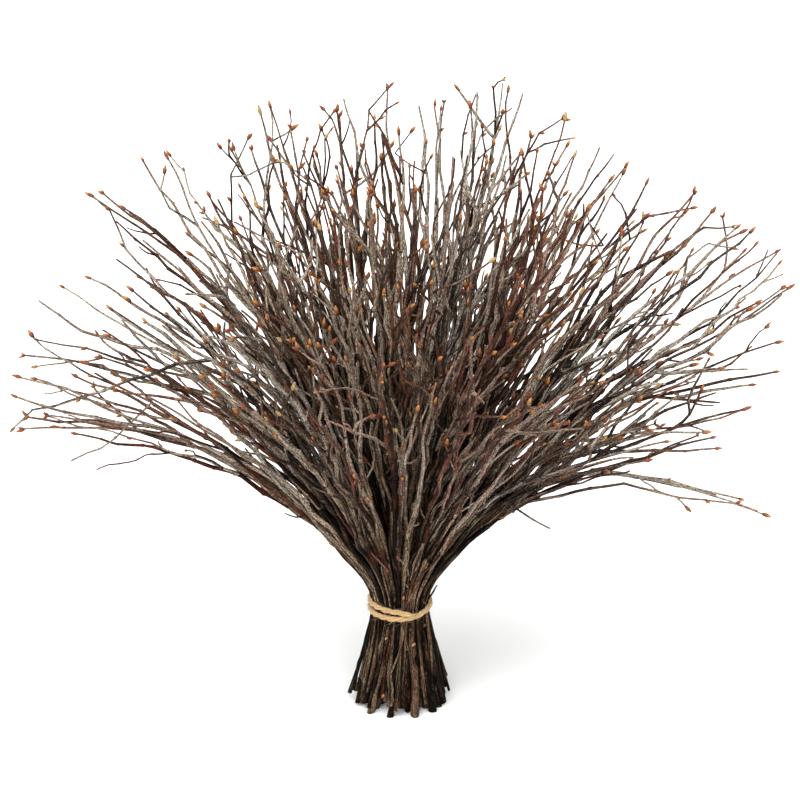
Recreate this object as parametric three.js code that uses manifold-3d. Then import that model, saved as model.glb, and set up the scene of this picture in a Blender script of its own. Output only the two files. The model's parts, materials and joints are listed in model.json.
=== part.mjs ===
// A bundle of leafless, budding twigs, tied near the foot with jute twine.
// It stands on its cut ends. +Z is up, +X runs across the fan, -Y is its front, and the origin
// is on the surface under the middle of the bundle. Sizes are in millimetres.
import * as THREE from "three";
import { mergeVertices } from "three/addons/utils/BufferGeometryUtils.js";
import Module from "manifold-3d";

const wasm = await Module();
wasm.setup();

const degrees = THREE.MathUtils.degToRad;

// The waist, where the twine squeezes the stems side by side.
const TIE_HEIGHT = 86;
const STEM_PITCH = 5.3; // between the middles of neighbouring stems
const WAIST_RINGS = 3.61; // the waist's radius in pitches, which has room for 55 stems
const WAIST_TURN = degrees(13);

// The foot, which opens out again below the twine.
const FOOT_SPREAD = 1.9; // times as wide as the waist
const FOOT_OPENING = 1.5; // above 1, most of the spread comes low down
const FOOT_TWIST = degrees(10);
const LEVEL_SHARE = 0.62; // of the stems are cut level and stand on the surface
const SHORT_CUTS = [2, 12]; // how far above the surface the other stems end
const CUT_LEAN = degrees(25); // the most that their cuts slope

// The fan. A stem leaves the waist leaning by a share of its full lean, and arches from there.
const SIDE_LEAN = degrees(70);
const DEPTH_LEAN = degrees(54);
const EARLY_LEAN = 0.52;
const NECK = 15; // the length over which a stem bends away from the waist
const REACH = 425; // along a stem, from the twine to its tip
const REACH_SPREAD = 0.16; // the share of it by which the shortest stems fall short
const SIDE_SHORTER = 0.12; // the share by which the outermost stems are shorter

// The tips that draw the fan's outline, from the lower left over the top to the lower right:
// across, back and up from the origin. The stem that would end nearest to each one bends to it.
const OUTLINE_TIPS = [
  [-285, -20, 254], [-310, 20, 226], [-302, -40, 295], [-296, 30, 301], [-270, 10, 353],
  [-254, 60, 344], [-248, 30, 422], [-220, 90, 390], [-186, 50, 449], [-136, 120, 437],
  [-104, 60, 488], [-50, 130, 463], [-10, 80, 498], [34, 140, 465], [60, 40, 506],
  [82, 100, 497], [130, 50, 481], [138, 130, 436], [181, 90, 425], [236, 50, 419],
  [268, 20, 399], [305, 60, 366], [306, -20, 362], [306, 30, 299], [278, 0, 252],
  [246, -40, 247], [294, -30, 172], [214, -60, 248],
].map((tip) => new THREE.Vector3(...tip));

// One stem.
const FOOT_RADIUS = 3.5;
const TIE_RADIUS = 2.35;
const TIP_RADIUS = 0.75;
const TAPER_POWER = 2; // the stem keeps its thickness for long and thins out near its tip
const STEM_SIDES = 5;
const STEM_RINGS = [-7, 14, 60]; // lengths above the twine at which it bends, besides its forks
const STEM_THINNEST = 0.78; // the thinnest stem's share of the radii above
const SWAY = 0.09; // in pitches
const SWAY_TURNS = [9, 8]; // across and back, in radians over the whole reach
const SWAY_START = 0.25; // the share of the reach over which the sway grows from nothing
const PULL_POWER = 2.2; // how late along a stem the bend to its tip comes

// Its side shoots: where each leaves the stem and ends, in shares of the stem's reach.
const SHOOTS = [
  { from: 0.35, to: 0.88 },
  { from: 0.64, to: 0.97 },
];
const SHOOT_SPREAD = 0.32; // in pitches
const SHOOT_BEND = 0.42; // the share of it at which it turns to run beside the stem
const SHOOT_THICKNESS = 0.66; // as a share of the stem's radius where it leaves it
const SHOOT_SIDES = 3;

// The pointed bud that ends each stem and shoot.
const BUD_LENGTH = 8.5;
const BUD_RADIUS = 1.7;
const BUD_WIDEST = 0.4; // as a share of its length

// The twine.
const TWINE_RADIUS = 2.2;
const TWINE_LOOP = 25.4; // from the bundle's middle to the twine's
const TWINE_SIDES = 8;
const TWINE_STEPS = 34;

const BARKS = [
  { name: "brown_bark", color: 0x3d2a23 },
  { name: "grey_bark", color: 0x5a4f4a },
  { name: "red_bark", color: 0x4a2220 },
].map((bark) => new THREE.MeshStandardMaterial({ ...bark, roughness: 0.8, metalness: 0 }));
const JUTE = new THREE.MeshStandardMaterial({ name: "jute", color: 0xb58f5a, roughness: 0.95, metalness: 0 });

// A repeatable number from 0 to 1 for one feature of one twig.
function chance(twig, feature) {
  const wave = Math.sin(twig * 12.9898 + feature * 78.233) * 43758.5453;
  return wave - Math.floor(wave);
}

// The places of the stems at the waist, in pitches, from the middle outwards. They are the points
// of a triangular net, whose rows and columns give each point's distance as a whole number, squared.
function waistPlaces() {
  const places = [];
  const most = Math.ceil(WAIST_RINGS) * 2;
  for (let row = -most; row <= most; row++)
    for (let column = -most; column <= most; column++) {
      const square = row * row + row * column + column * column;
      const place = new THREE.Vector2(column + row / 2, (row * Math.sqrt(3)) / 2);
      place.rotateAround(new THREE.Vector2(), WAIST_TURN);
      if (square <= WAIST_RINGS ** 2) places.push({ place, square, turn: place.angle() });
    }
  places.sort((a, b) => a.square - b.square || a.turn - b.turn);
  return places.map(({ place }) => place);
}

// The point of the fan that a stem at this place of the waist reaches after this length above
// the twine. Lengths below zero are under the twine, on the way to the foot.
function fanPoint(place, length) {
  const waist = place.clone().multiplyScalar(STEM_PITCH);
  if (length < 0) {
    const down = -length / TIE_HEIGHT;
    waist.multiplyScalar(1 + (FOOT_SPREAD - 1) * down ** FOOT_OPENING);
    waist.rotateAround(new THREE.Vector2(), -FOOT_TWIST * down);
    return new THREE.Vector3(waist.x, waist.y, TIE_HEIGHT + length);
  }
  const across = (place.x / WAIST_RINGS) * SIDE_LEAN;
  const back = (place.y / WAIST_RINGS) * DEPTH_LEAN;
  const lean = Math.max(Math.hypot(across, back), 1e-3);
  const start = lean * EARLY_LEAN;
  const bend = (lean - start) / REACH;
  const bent = length - NECK * (1 - Math.exp(-length / NECK));
  const sideways = (Math.cos(start) - Math.cos(start + bend * bent)) / bend;
  const upwards = (Math.sin(start + bend * bent) - Math.sin(start)) / bend + length - bent;
  return new THREE.Vector3(
    waist.x + (sideways * across) / lean,
    waist.y + (sideways * back) / lean,
    TIE_HEIGHT + upwards,
  );
}

// A tapered rod that ends in a point: a cone whose rings are moved onto the given points.
// The first ring lies across footNormal, and the others across the rod.
function taperedRod(points, radii, sides, sideways, footNormal) {
  const steps = points.length - 1;
  const cone = new THREE.ConeGeometry(1, 1, sides, steps);
  const position = cone.attributes.position;
  for (let i = 0; i < position.count; i++) {
    const vertex = new THREE.Vector3().fromBufferAttribute(position, i);
    const ring = Math.round((vertex.y + 0.5) * steps);
    const along = points[Math.min(ring + 1, steps)].clone().sub(points[Math.max(ring - 1, 0)]).normalize();
    if (ring === 0 && footNormal) along.copy(footNormal);
    const right = sideways.clone().addScaledVector(along, -sideways.dot(along)).normalize();
    const front = right.clone().cross(along);
    const spoke = new THREE.Vector2(vertex.x, vertex.z).normalize().multiplyScalar(radii[ring]);
    vertex.copy(points[ring]).addScaledVector(right, spoke.x).addScaledVector(front, spoke.y);
    position.setXYZ(i, vertex.x, vertex.y, vertex.z);
  }
  return cone;
}

function solidOf(geometry) {
  geometry.deleteAttribute("normal");
  geometry.deleteAttribute("uv");
  const merged = mergeVertices(geometry, 1e-4);
  const mesh = { numProp: 3, vertProperties: merged.attributes.position.array, triVerts: merged.index.array };
  return new wasm.Manifold(new wasm.Mesh({ ...mesh, triVerts: new Uint32Array(mesh.triVerts) }));
}

function geometryOf(solid) {
  const mesh = solid.getMesh();
  const geometry = new THREE.BufferGeometry();
  geometry.setAttribute("position", new THREE.BufferAttribute(mesh.vertProperties, 3));
  geometry.setIndex(new THREE.BufferAttribute(mesh.triVerts, 1));
  geometry.computeVertexNormals();
  return geometry;
}

// The facts of one twig, each from its number and its place at the waist.
function twigFacts(number, place) {
  const outwards = (place.length() / WAIST_RINGS) ** 2;
  const level = chance(number, 1) < LEVEL_SHARE;
  return {
    number,
    place,
    thickness: 1 - (1 - STEM_THINNEST) * chance(number, 2),
    reach: REACH * (1 - REACH_SPREAD * chance(number, 3)) * (1 - SIDE_SHORTER * outwards),
    footHeight: level ? 0 : THREE.MathUtils.lerp(...SHORT_CUTS, chance(number, 4)),
    cutLean: level ? 0 : THREE.MathUtils.lerp(-CUT_LEAN, CUT_LEAN, chance(number, 5)),
    shootTurn: 2 * Math.PI * chance(number, 6),
    pull: new THREE.Vector3(),
  };
}

// The place in the fan of a twig's stem at a length above the twine, with its slow sway.
function swayingPlace(twig, length) {
  const up = Math.max(length, 0) / REACH;
  const amount = (SWAY * Math.min(1, up / SWAY_START)) / 2;
  const [across, back] = SWAY_TURNS.map((turns, axis) => {
    const start = 2 * Math.PI * chance(twig.number, 7 + axis);
    return amount * (Math.sin(start + turns * up) - Math.sin(start));
  });
  return twig.place.clone().add(new THREE.Vector2(across, back));
}

// A point of a twig, at a place in the fan. Its pull bends it more the further along it is.
function twigPoint(twig, place, length) {
  const share = Math.max(0, length / twig.reach);
  return fanPoint(place, length).addScaledVector(twig.pull, share ** PULL_POWER);
}

function tipOf(twig) {
  return twigPoint(twig, swayingPlace(twig, twig.reach), twig.reach);
}

// Bends the stem that would end nearest to a tip of the outline until it ends there.
function reachTip(twigs, tip) {
  const free = twigs.filter((twig) => twig.pull.length() === 0);
  free.sort((a, b) => tipOf(a).distanceTo(tip) - tipOf(b).distanceTo(tip));
  const nearest = free[0];
  const tie = new THREE.Vector3(0, 0, TIE_HEIGHT);
  nearest.reach *= tip.distanceTo(tie) / tipOf(nearest).distanceTo(tie);
  nearest.pull = tip.clone().sub(tipOf(nearest));
}

// A stem is thinnest at its tip, and thicker at its foot than in the tie.
function stemRadius(twig, length) {
  const { thickness, reach } = twig;
  if (length < 0) return thickness * THREE.MathUtils.lerp(TIE_RADIUS, FOOT_RADIUS, -length / TIE_HEIGHT);
  const share = Math.min(1, length / reach) ** TAPER_POWER;
  return thickness * THREE.MathUtils.lerp(TIE_RADIUS, TIP_RADIUS, share);
}

// Where a bud starts, is widest and ends, on a stem or shoot that is this long.
function budRings(end) {
  return [end - BUD_LENGTH, end - (1 - BUD_WIDEST) * BUD_LENGTH, end];
}

function stem(twig) {
  const { reach } = twig;
  const lengths = [
    twig.footHeight - TIE_HEIGHT,
    ...STEM_RINGS,
    ...SHOOTS.map(({ from }) => from * reach),
    ...budRings(reach),
  ];
  const points = lengths.map((length) => twigPoint(twig, swayingPlace(twig, length), length));
  const radii = lengths.map((length) => stemRadius(twig, length));
  radii[radii.length - 2] = BUD_RADIUS;
  const turn = twig.place.angle() + Math.PI / 2;
  const sideways = new THREE.Vector3(Math.cos(turn), Math.sin(turn), 0);
  const footNormal = new THREE.Vector3(0, 0, 1).applyAxisAngle(sideways, twig.cutLean);
  return taperedRod(points, radii, STEM_SIDES, sideways, footNormal);
}

// One side shoot. It leaves the stem quickly and then runs beside it.
function shoot(twig, index) {
  const { from, to } = SHOOTS[index];
  const turn = twig.shootTurn + index * Math.PI;
  const aside = new THREE.Vector2(Math.cos(turn), Math.sin(turn)).multiplyScalar(SHOOT_SPREAD);
  const begin = from * twig.reach;
  const end = to * twig.reach;
  const lengths = [begin, THREE.MathUtils.lerp(begin, end, SHOOT_BEND), ...budRings(end)];
  const points = lengths.map((length) => {
    const share = (length - begin) / (end - begin);
    const place = swayingPlace(twig, length).addScaledVector(aside, share * (2 - share));
    return twigPoint(twig, place, length);
  });
  const thickest = SHOOT_THICKNESS * stemRadius(twig, begin);
  const radii = [thickest, Math.max(thickest, TIP_RADIUS), TIP_RADIUS, BUD_RADIUS, 0];
  const sideways = new THREE.Vector3(-Math.sin(turn), Math.cos(turn), 0);
  return taperedRod(points, radii, SHOOT_SIDES, sideways);
}

function twigMesh(twig) {
  const parts = [stem(twig), ...SHOOTS.map((_, index) => shoot(twig, index))].map(solidOf);
  const whole = parts.reduce((sum, part) => sum.add(part));
  const bark = BARKS[Math.floor(chance(twig.number, 9) * BARKS.length)];
  const mesh = new THREE.Mesh(geometryOf(whole), bark);
  mesh.name = `twig_${String(twig.number).padStart(2, "0")}`;
  return mesh;
}

// The twine's middle line: from its tucked end at the front, round the left side, the back and
// the right side, then lower across the front and round the left side again to its end at the back.
const TWINE_ROUTE = [
  // turn in degrees anticlockwise from +X, height above the surface
  [302, 85.5], [270, 86.6], [225, 88], [180, 89], [135, 90], [90, 90], [45, 88.5], [0, 86], [-40, 83],
  [-75, 80.8], [-110, 80.6], [-150, 81], [-190, 81.5], [-230, 83], [-262, 84],
];

function twineMesh() {
  const points = TWINE_ROUTE.map(([turn, height]) => {
    const angle = degrees(turn);
    return new THREE.Vector3(TWINE_LOOP * Math.cos(angle), TWINE_LOOP * Math.sin(angle), height);
  });
  const section = new THREE.Shape();
  section.absarc(0, 0, TWINE_RADIUS, 0, 2 * Math.PI);
  const geometry = new THREE.ExtrudeGeometry(section, {
    steps: TWINE_STEPS,
    curveSegments: TWINE_SIDES / 2,
    extrudePath: new THREE.CatmullRomCurve3(points),
  });
  const mesh = new THREE.Mesh(geometry, JUTE);
  mesh.name = "twine";
  return mesh;
}

const twigs = waistPlaces().map((place, index) => twigFacts(index + 1, place));
OUTLINE_TIPS.forEach((tip) => reachTip(twigs, tip));

const bundle = new THREE.Group();
bundle.add(...twigs.map(twigMesh), twineMesh());

export default bundle;
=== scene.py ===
# %% [markdown]
# # A bundle of budding twigs
# Fifty-five bare twigs stand on their cut ends, tied with jute, and fan out over a pale floor.
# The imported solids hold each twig's stem, its two main shoots and their tips. This lesson grows
# the fine form along the same lines: knots, crooked shoots, buds, bark and twisted twine.

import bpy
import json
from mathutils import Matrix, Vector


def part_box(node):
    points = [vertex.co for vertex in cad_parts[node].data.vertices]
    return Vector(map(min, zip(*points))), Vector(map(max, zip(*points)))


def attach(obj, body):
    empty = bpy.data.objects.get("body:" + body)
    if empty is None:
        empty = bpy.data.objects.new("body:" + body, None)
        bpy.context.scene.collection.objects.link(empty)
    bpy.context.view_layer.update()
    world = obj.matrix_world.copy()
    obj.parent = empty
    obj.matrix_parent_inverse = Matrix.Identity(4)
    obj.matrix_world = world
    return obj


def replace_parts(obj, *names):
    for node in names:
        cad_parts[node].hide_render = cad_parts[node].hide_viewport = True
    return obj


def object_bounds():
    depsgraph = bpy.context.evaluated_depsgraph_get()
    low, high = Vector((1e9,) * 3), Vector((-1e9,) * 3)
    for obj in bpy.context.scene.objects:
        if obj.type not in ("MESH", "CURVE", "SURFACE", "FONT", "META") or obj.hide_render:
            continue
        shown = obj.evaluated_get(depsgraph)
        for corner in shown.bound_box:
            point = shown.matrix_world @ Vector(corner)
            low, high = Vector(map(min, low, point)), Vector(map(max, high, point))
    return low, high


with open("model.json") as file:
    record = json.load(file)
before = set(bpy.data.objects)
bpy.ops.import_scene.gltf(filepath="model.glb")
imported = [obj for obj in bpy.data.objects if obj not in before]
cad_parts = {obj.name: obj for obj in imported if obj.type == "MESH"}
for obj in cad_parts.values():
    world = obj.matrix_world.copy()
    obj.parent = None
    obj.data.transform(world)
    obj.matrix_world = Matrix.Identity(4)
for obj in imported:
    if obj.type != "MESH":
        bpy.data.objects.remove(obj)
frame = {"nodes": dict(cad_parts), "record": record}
solid_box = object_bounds()
print("solids", len(frame["nodes"]), "box", [tuple(round(x, 4) for x in corner) for corner in solid_box])

# %% [markdown]
# ## Camera
# The picture was taken with a long lens from about twenty degrees above the floor. The height
# comes from the ellipses of the tie and of the cut ends, which are a third as tall as they are wide.

# %% Place the camera
import json
import math
from types import SimpleNamespace

import bpy
import numpy as np
from mathutils import Vector

VIEW_ELEVATION = math.radians(20)
VIEW_CENTRE = Vector((0.0, 0.0, 0.259))
VIEW_DISTANCE = 2.6
PICTURE_WIDTH = 0.632  # metres across the picture at the bundle
SENSOR_WIDTH = 36.0
SIGHT = np.array((0.0, math.cos(VIEW_ELEVATION), -math.sin(VIEW_ELEVATION)))  # from the camera
PICTURE_UP = np.array((0.0, math.sin(VIEW_ELEVATION), math.cos(VIEW_ELEVATION)))


def put(name, data):
    """Makes an object of its data and puts it in the scene."""
    made = bpy.data.objects.new(name, data)
    bpy.context.scene.collection.objects.link(made)
    return made


def place_camera():
    """Makes a camera that looks at the bundle from its front."""
    lens = bpy.data.cameras.new("camera")
    lens.sensor_width = SENSOR_WIDTH
    lens.lens = SENSOR_WIDTH * VIEW_DISTANCE / PICTURE_WIDTH
    camera = put("camera", lens)
    camera.location = VIEW_CENTRE - VIEW_DISTANCE * Vector(SIGHT)
    camera.rotation_euler = (math.pi / 2 - VIEW_ELEVATION, 0, 0)
    bpy.context.scene.camera = camera
    return lens


print("lens", round(place_camera().lens), "mm")

# %% [markdown]
# ## The lines that twigs follow
# At the waist the stems lie side by side in a triangular net. Above it each one leans by its
# place in the net and arches on, and below it they open again. The solids were made by these
# rules, so the lesson repeats them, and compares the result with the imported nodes.
# Lengths are in millimetres here and become metres when a mesh is made.

# %% Rules of the fan
TIE_HEIGHT = 86.0
STEM_PITCH = 5.3
WAIST_RINGS = 3.61
WAIST_TURN = math.radians(13)
FOOT_SPREAD = 1.9
FOOT_OPENING = 1.5
FOOT_TWIST = math.radians(10)
LEVEL_SHARE = 0.62
SHORT_CUTS = (2.0, 12.0)
CUT_LEAN = math.radians(25)
SIDE_LEAN = math.radians(70)
DEPTH_LEAN = math.radians(54)
EARLY_LEAN = 0.52
NECK_LENGTH = 15.0
REACH = 425.0
REACH_SPREAD = 0.16
SIDE_SHORTER = 0.12
STEM_THINNEST = 0.78
SWAY = 0.09
SWAY_TURNS = np.array((9.0, 8.0))
SWAY_START = 0.25
PULL_POWER = 2.2
SHOOTS = ((0.35, 0.88), (0.64, 0.97))
SHOOT_SPREAD = 0.32
# Tips that draw the outline of the fan: to the right, to the back and up.
OUTLINE_TIPS = (
    (-285, -20, 254), (-310, 20, 226), (-302, -40, 295), (-296, 30, 301), (-270, 10, 353),
    (-254, 60, 344), (-248, 30, 422), (-220, 90, 390), (-186, 50, 449), (-136, 120, 437),
    (-104, 60, 488), (-50, 130, 463), (-10, 80, 498), (34, 140, 465), (60, 40, 506),
    (82, 100, 497), (130, 50, 481), (138, 130, 436), (181, 90, 425), (236, 50, 419),
    (268, 20, 399), (305, 60, 366), (306, -20, 362), (306, 30, 299), (278, 0, 252),
    (246, -40, 247), (294, -30, 172), (214, -60, 248),
)


def chance(twig, feature):
    """A repeatable number from 0 to 1 for one feature of one twig."""
    return (math.sin(twig * 12.9898 + feature * 78.233) * 43758.5453) % 1


def lerp(low, high, share):
    """The value that lies a share of the way from low to high."""
    return low + (high - low) * share


def turned(point, angle):
    """A flat point, turned about the origin."""
    x, y = point
    return np.array((x * math.cos(angle) - y * math.sin(angle), x * math.sin(angle) + y * math.cos(angle)))


def waist_places():
    """The places of the stems at the waist, in pitches, from the middle outwards."""
    found = []
    most = math.ceil(WAIST_RINGS) * 2
    for row in range(-most, most + 1):
        for column in range(-most, most + 1):
            square = row * row + row * column + column * column
            if square <= WAIST_RINGS**2:
                place = turned((column + row / 2, row * math.sqrt(3) / 2), WAIST_TURN)
                found.append((square, math.atan2(place[1], place[0]) % (2 * math.pi), tuple(place)))
    return [np.array(place) for _, _, place in sorted(found)]


def fan_points(places, lengths):
    """The points that stems at these places reach after these lengths above the twine."""
    down = np.clip(-lengths, 0, None) / TIE_HEIGHT
    wider = STEM_PITCH * (1 + (FOOT_SPREAD - 1) * down**FOOT_OPENING)
    turn = -FOOT_TWIST * down
    x, y = places[:, 0] * wider, places[:, 1] * wider
    across = places[:, 0] / WAIST_RINGS * SIDE_LEAN
    back = places[:, 1] / WAIST_RINGS * DEPTH_LEAN
    lean = np.maximum(np.hypot(across, back), 1e-3)
    start = lean * EARLY_LEAN
    bend = (lean - start) / REACH
    above = np.clip(lengths, 0, None)
    bent = above - NECK_LENGTH * (1 - np.exp(-above / NECK_LENGTH))
    sideways = (np.cos(start) - np.cos(start + bend * bent)) / bend
    upwards = (np.sin(start + bend * bent) - np.sin(start)) / bend + above - bent
    return np.column_stack((
        x * np.cos(turn) - y * np.sin(turn) + sideways * across / lean,
        x * np.sin(turn) + y * np.cos(turn) + sideways * back / lean,
        TIE_HEIGHT + upwards + np.clip(lengths, None, 0),
    ))


places_of_solids = waist_places()
print("stems in the waist", len(places_of_solids))

# %% [markdown]
# ## One twig's facts
# A twig's number gives its thickness, its reach, how its foot is cut and which way it sways.
# Some stems bend a little more, so that their tips draw the outline that the fan is known by.

# %% Work out the twigs of the solids


def twig_facts(number, place):
    """The facts of one main twig, each from its number and its place at the waist."""
    outwards = (np.hypot(*place) / WAIST_RINGS) ** 2
    level = chance(number, 1) < LEVEL_SHARE
    return SimpleNamespace(
        number=number,
        place=place,
        thickness=1 - (1 - STEM_THINNEST) * chance(number, 2),
        reach=REACH * (1 - REACH_SPREAD * chance(number, 3)) * (1 - SIDE_SHORTER * outwards),
        foot_height=0.0 if level else lerp(*SHORT_CUTS, chance(number, 4)),
        cut_lean=0.0 if level else lerp(-CUT_LEAN, CUT_LEAN, chance(number, 5)),
        shoot_turn=2 * math.pi * chance(number, 6),
        pull=np.zeros(3),
    )


def sway(twig, lengths):
    """How far a twig's stem strays from its place in the fan, in pitches."""
    up = np.clip(lengths, 0, None)[:, None] / REACH
    start = 2 * math.pi * np.array((chance(twig.number, 7), chance(twig.number, 8)))
    amount = SWAY * np.clip(up / SWAY_START, 0, 1) / 2
    return amount * (np.sin(start + SWAY_TURNS * up) - np.sin(start))


def twig_points(twig, places, lengths, from_length=None, follow=1.0):
    """Points of a twig. Its pull bends it more the further along it is.
    A shoot follows the pull that its twig gains beyond the shoot's start only in part."""
    share = np.clip(lengths / twig.reach, 0, None)[:, None] ** PULL_POWER
    if from_length is not None:
        held = max(0.0, from_length / twig.reach) ** PULL_POWER
        share = held + follow * (share - held)
    return fan_points(places, lengths) + twig.pull * share


def tip_of(twig):
    """The place where a twig ends."""
    end = np.array((twig.reach,))
    return twig_points(twig, twig.place + sway(twig, end), end)[0]


def reach_tip(twigs, tip):
    """Bends the stem that would end nearest to a tip of the outline until it ends there."""
    free = [twig for twig in twigs if not twig.pull.any()]
    nearest = min(free, key=lambda twig: np.linalg.norm(tip_of(twig) - tip))
    tie = np.array((0, 0, TIE_HEIGHT))
    nearest.reach *= np.linalg.norm(tip - tie) / np.linalg.norm(tip_of(nearest) - tie)
    nearest.pull = tip - tip_of(nearest)


main_twigs = [twig_facts(number, place) for number, place in enumerate(places_of_solids, 1)]
for outline_tip in OUTLINE_TIPS:
    reach_tip(main_twigs, np.array(outline_tip, float))


def distance_outside(twig):
    """How far the worked-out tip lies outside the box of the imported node, in millimetres."""
    low, high = (np.array(corner) * 1000 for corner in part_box(f"twig_{twig.number:02d}"))
    return np.max(np.maximum(low - tip_of(twig), tip_of(twig) - high))


print("tips off their solids by at most", round(max(map(distance_outside, main_twigs)), 3), "mm")

# %% [markdown]
# ## A pile of rods
# Everything here is a rod: stems, shoots, buds, and the strands and fibres of the twine. Curves
# with a bevel would be quicker to write, but they can't carry a rod's own grain, tone and age to
# the bark, or swell at a knot. So the rings are laid out as arrays, and a pile joins many rods
# into one mesh. Each rod also gets a strip of its own in a map, so that its finish can be baked.

# %% Rods and piles
MILLIMETRE = 0.001
BARK, BUD, WOOD = range(3)  # the material slots of a twig
BARK_SHIFT = 1000  # how far apart two rods may read the pattern of the bark
POINT = 1.5  # how far a rod's point lies past its last ring, in radii
STRIP_GAP = 0.04  # of a column's width, bare on either side of a strip


def unit(vectors):
    """Vectors of length one, in the same directions."""
    return vectors / np.linalg.norm(vectors, axis=-1, keepdims=True)


def course_of(points):
    """The direction of a line at each of its points."""
    return unit(np.gradient(points, axis=0))


def walked_along(points):
    """How far along a line each of its points lies."""
    return np.concatenate(((0,), np.cumsum(np.linalg.norm(np.diff(points, axis=0), axis=1))))


class Pile:
    """Collects rods, and turns them into one mesh."""

    def __init__(self):
        self.points, self.grain, self.tone, self.age = [], [], [], []
        self.faces, self.skins, self.flat, self.strips = [], [], [], []
        self.lines = []  # the middles of the rods of bark, for twigs that start from them
        self.count = 0

    def add(self, points, radii, sides, relief=None, along=None, tone=0.5, age=0.0,
            skin=BARK, end_skin=None, cut=None):
        """Adds a rod through points. relief scales the radius of each ring's corners, and cut is
        the direction that the rod's first end was cut square to."""
        points, radii = np.asarray(points, float), np.asarray(radii, float)
        rings = len(points)
        course = course_of(points)
        main = points[-1] - points[0]
        least = np.eye(3)[np.argmin(np.abs(main))]
        right = unit(np.cross(course, np.cross(main, least)))
        front = np.cross(course, right)
        angles = np.arange(sides) * (2 * math.pi / sides)
        spokes = radii[:, None] * (1 if relief is None else relief) * np.ones((rings, sides))
        ring = spokes[:, :, None] * (np.cos(angles)[None, :, None] * right[:, None]
                                     + np.sin(angles)[None, :, None] * front[:, None])
        if cut is not None:
            ring[0] -= np.outer(ring[0] @ cut, course[0]) / (course[0] @ cut)
        walked = walked_along(points)
        along = walked if along is None else np.asarray(along, float)
        grain = np.stack((spokes * np.cos(angles), spokes * np.sin(angles),
                          np.repeat(along[:, None], sides, 1)), 2)
        end = points[-1] + radii[-1] * POINT * course[-1]
        self.points += [(points[:, None] + ring).reshape(-1, 3), points[:1], end[None]]
        self.grain += [grain.reshape(-1, 3), [(0, 0, along[0])], [(0, 0, along[-1])]]
        corners = rings * sides + 2
        ages = np.repeat(np.broadcast_to(age, rings), sides)
        self.age.append(np.concatenate((ages, ages[:1], ages[-1:])))
        self.tone.append(np.full(corners, tone))
        self.add_faces(rings, sides, walked, skin, end_skin, radii)
        if skin == BARK:
            self.lines.append(points)
        self.count += corners

    def add_faces(self, rings, sides, walked, skin, end_skin, radii):
        """The faces of one rod, with their material and their places on its strip."""

        def spots(across, up):
            return np.column_stack((across, np.broadcast_to(up, across.shape)))

        row, side = (a.ravel() for a in np.meshgrid(np.arange(rings - 1), np.arange(sides), indexing="ij"))
        after = (side + 1) % sides
        quads = self.count + np.column_stack((
            row * sides + side, row * sides + after, (row + 1) * sides + after, (row + 1) * sides + side))
        left, right = side / sides, side / sides + 1 / sides
        here, above = walked[row], walked[row + 1]
        strip = np.stack((spots(left, here), spots(right, here), spots(right, above), spots(left, above)), 1)
        side = np.arange(sides)
        after = (side + 1) % sides
        first, last = self.count + rings * sides, self.count + rings * sides + 1
        top = self.count + (rings - 1) * sides
        foot_fan = np.column_stack((np.full(sides, first), self.count + after, self.count + side))
        tip_fan = np.column_stack((np.full(sides, last), top + side, top + after))
        left, middle, right = (side + np.array((0, 0.5, 1))[:, None]) / sides
        low, high = walked[0] - radii[0], walked[-1] + radii[-1] * POINT
        foot_strip = np.stack((spots(middle, low), spots(right, walked[0]), spots(left, walked[0])), 1)
        tip_strip = np.stack((spots(middle, high), spots(left, walked[-1]), spots(right, walked[-1])), 1)
        self.faces += [*quads.tolist(), *foot_fan.tolist(), *tip_fan.tolist()]
        ends = skin if end_skin is None else end_skin
        self.skins += [skin] * len(quads) + [ends] * sides + [skin] * sides
        self.flat += [False] * len(quads) + [end_skin is not None] * sides + [False] * sides
        corners = [strip.reshape(-1, 2), foot_strip.reshape(-1, 2), tip_strip.reshape(-1, 2)]
        self.strips.append((np.concatenate(corners) - (0, low), high - low))

    def map(self):
        """Lays the strips in columns, the longest first, and returns a place for each face corner."""
        order = sorted(range(len(self.strips)), key=lambda i: -self.strips[i][1])
        height = self.strips[order[0]][1]
        column, filled, spots = 0, 0.0, {}
        for i in order:
            if filled + self.strips[i][1] > height:
                column, filled = column + 1, 0.0
            spots[i] = (column, filled)
            filled += self.strips[i][1]
        laid = []
        for i, (places, _) in enumerate(self.strips):
            column_here, start = spots[i]
            u = (column_here + STRIP_GAP + (1 - 2 * STRIP_GAP) * places[:, 0]) / (column + 1)
            laid.append(np.column_stack((u, (start + places[:, 1]) / height)))
        return np.clip(np.concatenate(laid), 0, 1)

    def triangles(self):
        return sum(len(face) - 2 for face in self.faces)

    def mesh(self, name, materials):
        """Makes the object, in metres."""
        mesh = bpy.data.meshes.new(name)
        mesh.from_pydata((np.concatenate(self.points) * MILLIMETRE).tolist(), [], self.faces)
        mesh.polygons.foreach_set("material_index", self.skins)
        mesh.polygons.foreach_set("use_smooth", [not flat for flat in self.flat])
        for attribute, kind, field, values in (
            ("grain", "FLOAT_VECTOR", "vector", self.grain),
            ("tone", "FLOAT", "value", self.tone),
            ("age", "FLOAT", "value", self.age),
        ):
            layer = mesh.attributes.new(attribute, kind, "POINT")
            layer.data.foreach_set(field, np.concatenate(values).astype(np.float32).ravel())
        mesh.uv_layers.new(name="OFBake").uv.foreach_set("vector", self.map().astype(np.float32).ravel())
        for material in materials:
            mesh.materials.append(material)
        mesh.update()
        return put(name, mesh)

# %% [markdown]
# ## How a shoot grows
# A living shoot is never a smooth arc. It turns a little at each bud, first to one side and then
# to the other, and drifts on the way. Noise alone would make it wobble, so the turns sit at named
# points, the nodes, where the next shoots and the buds grow too.

# %% Crooked lines
NODE_SHARES = np.array((0.0, 0.1, 0.5, 0.9))  # samples from one node to the next


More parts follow.
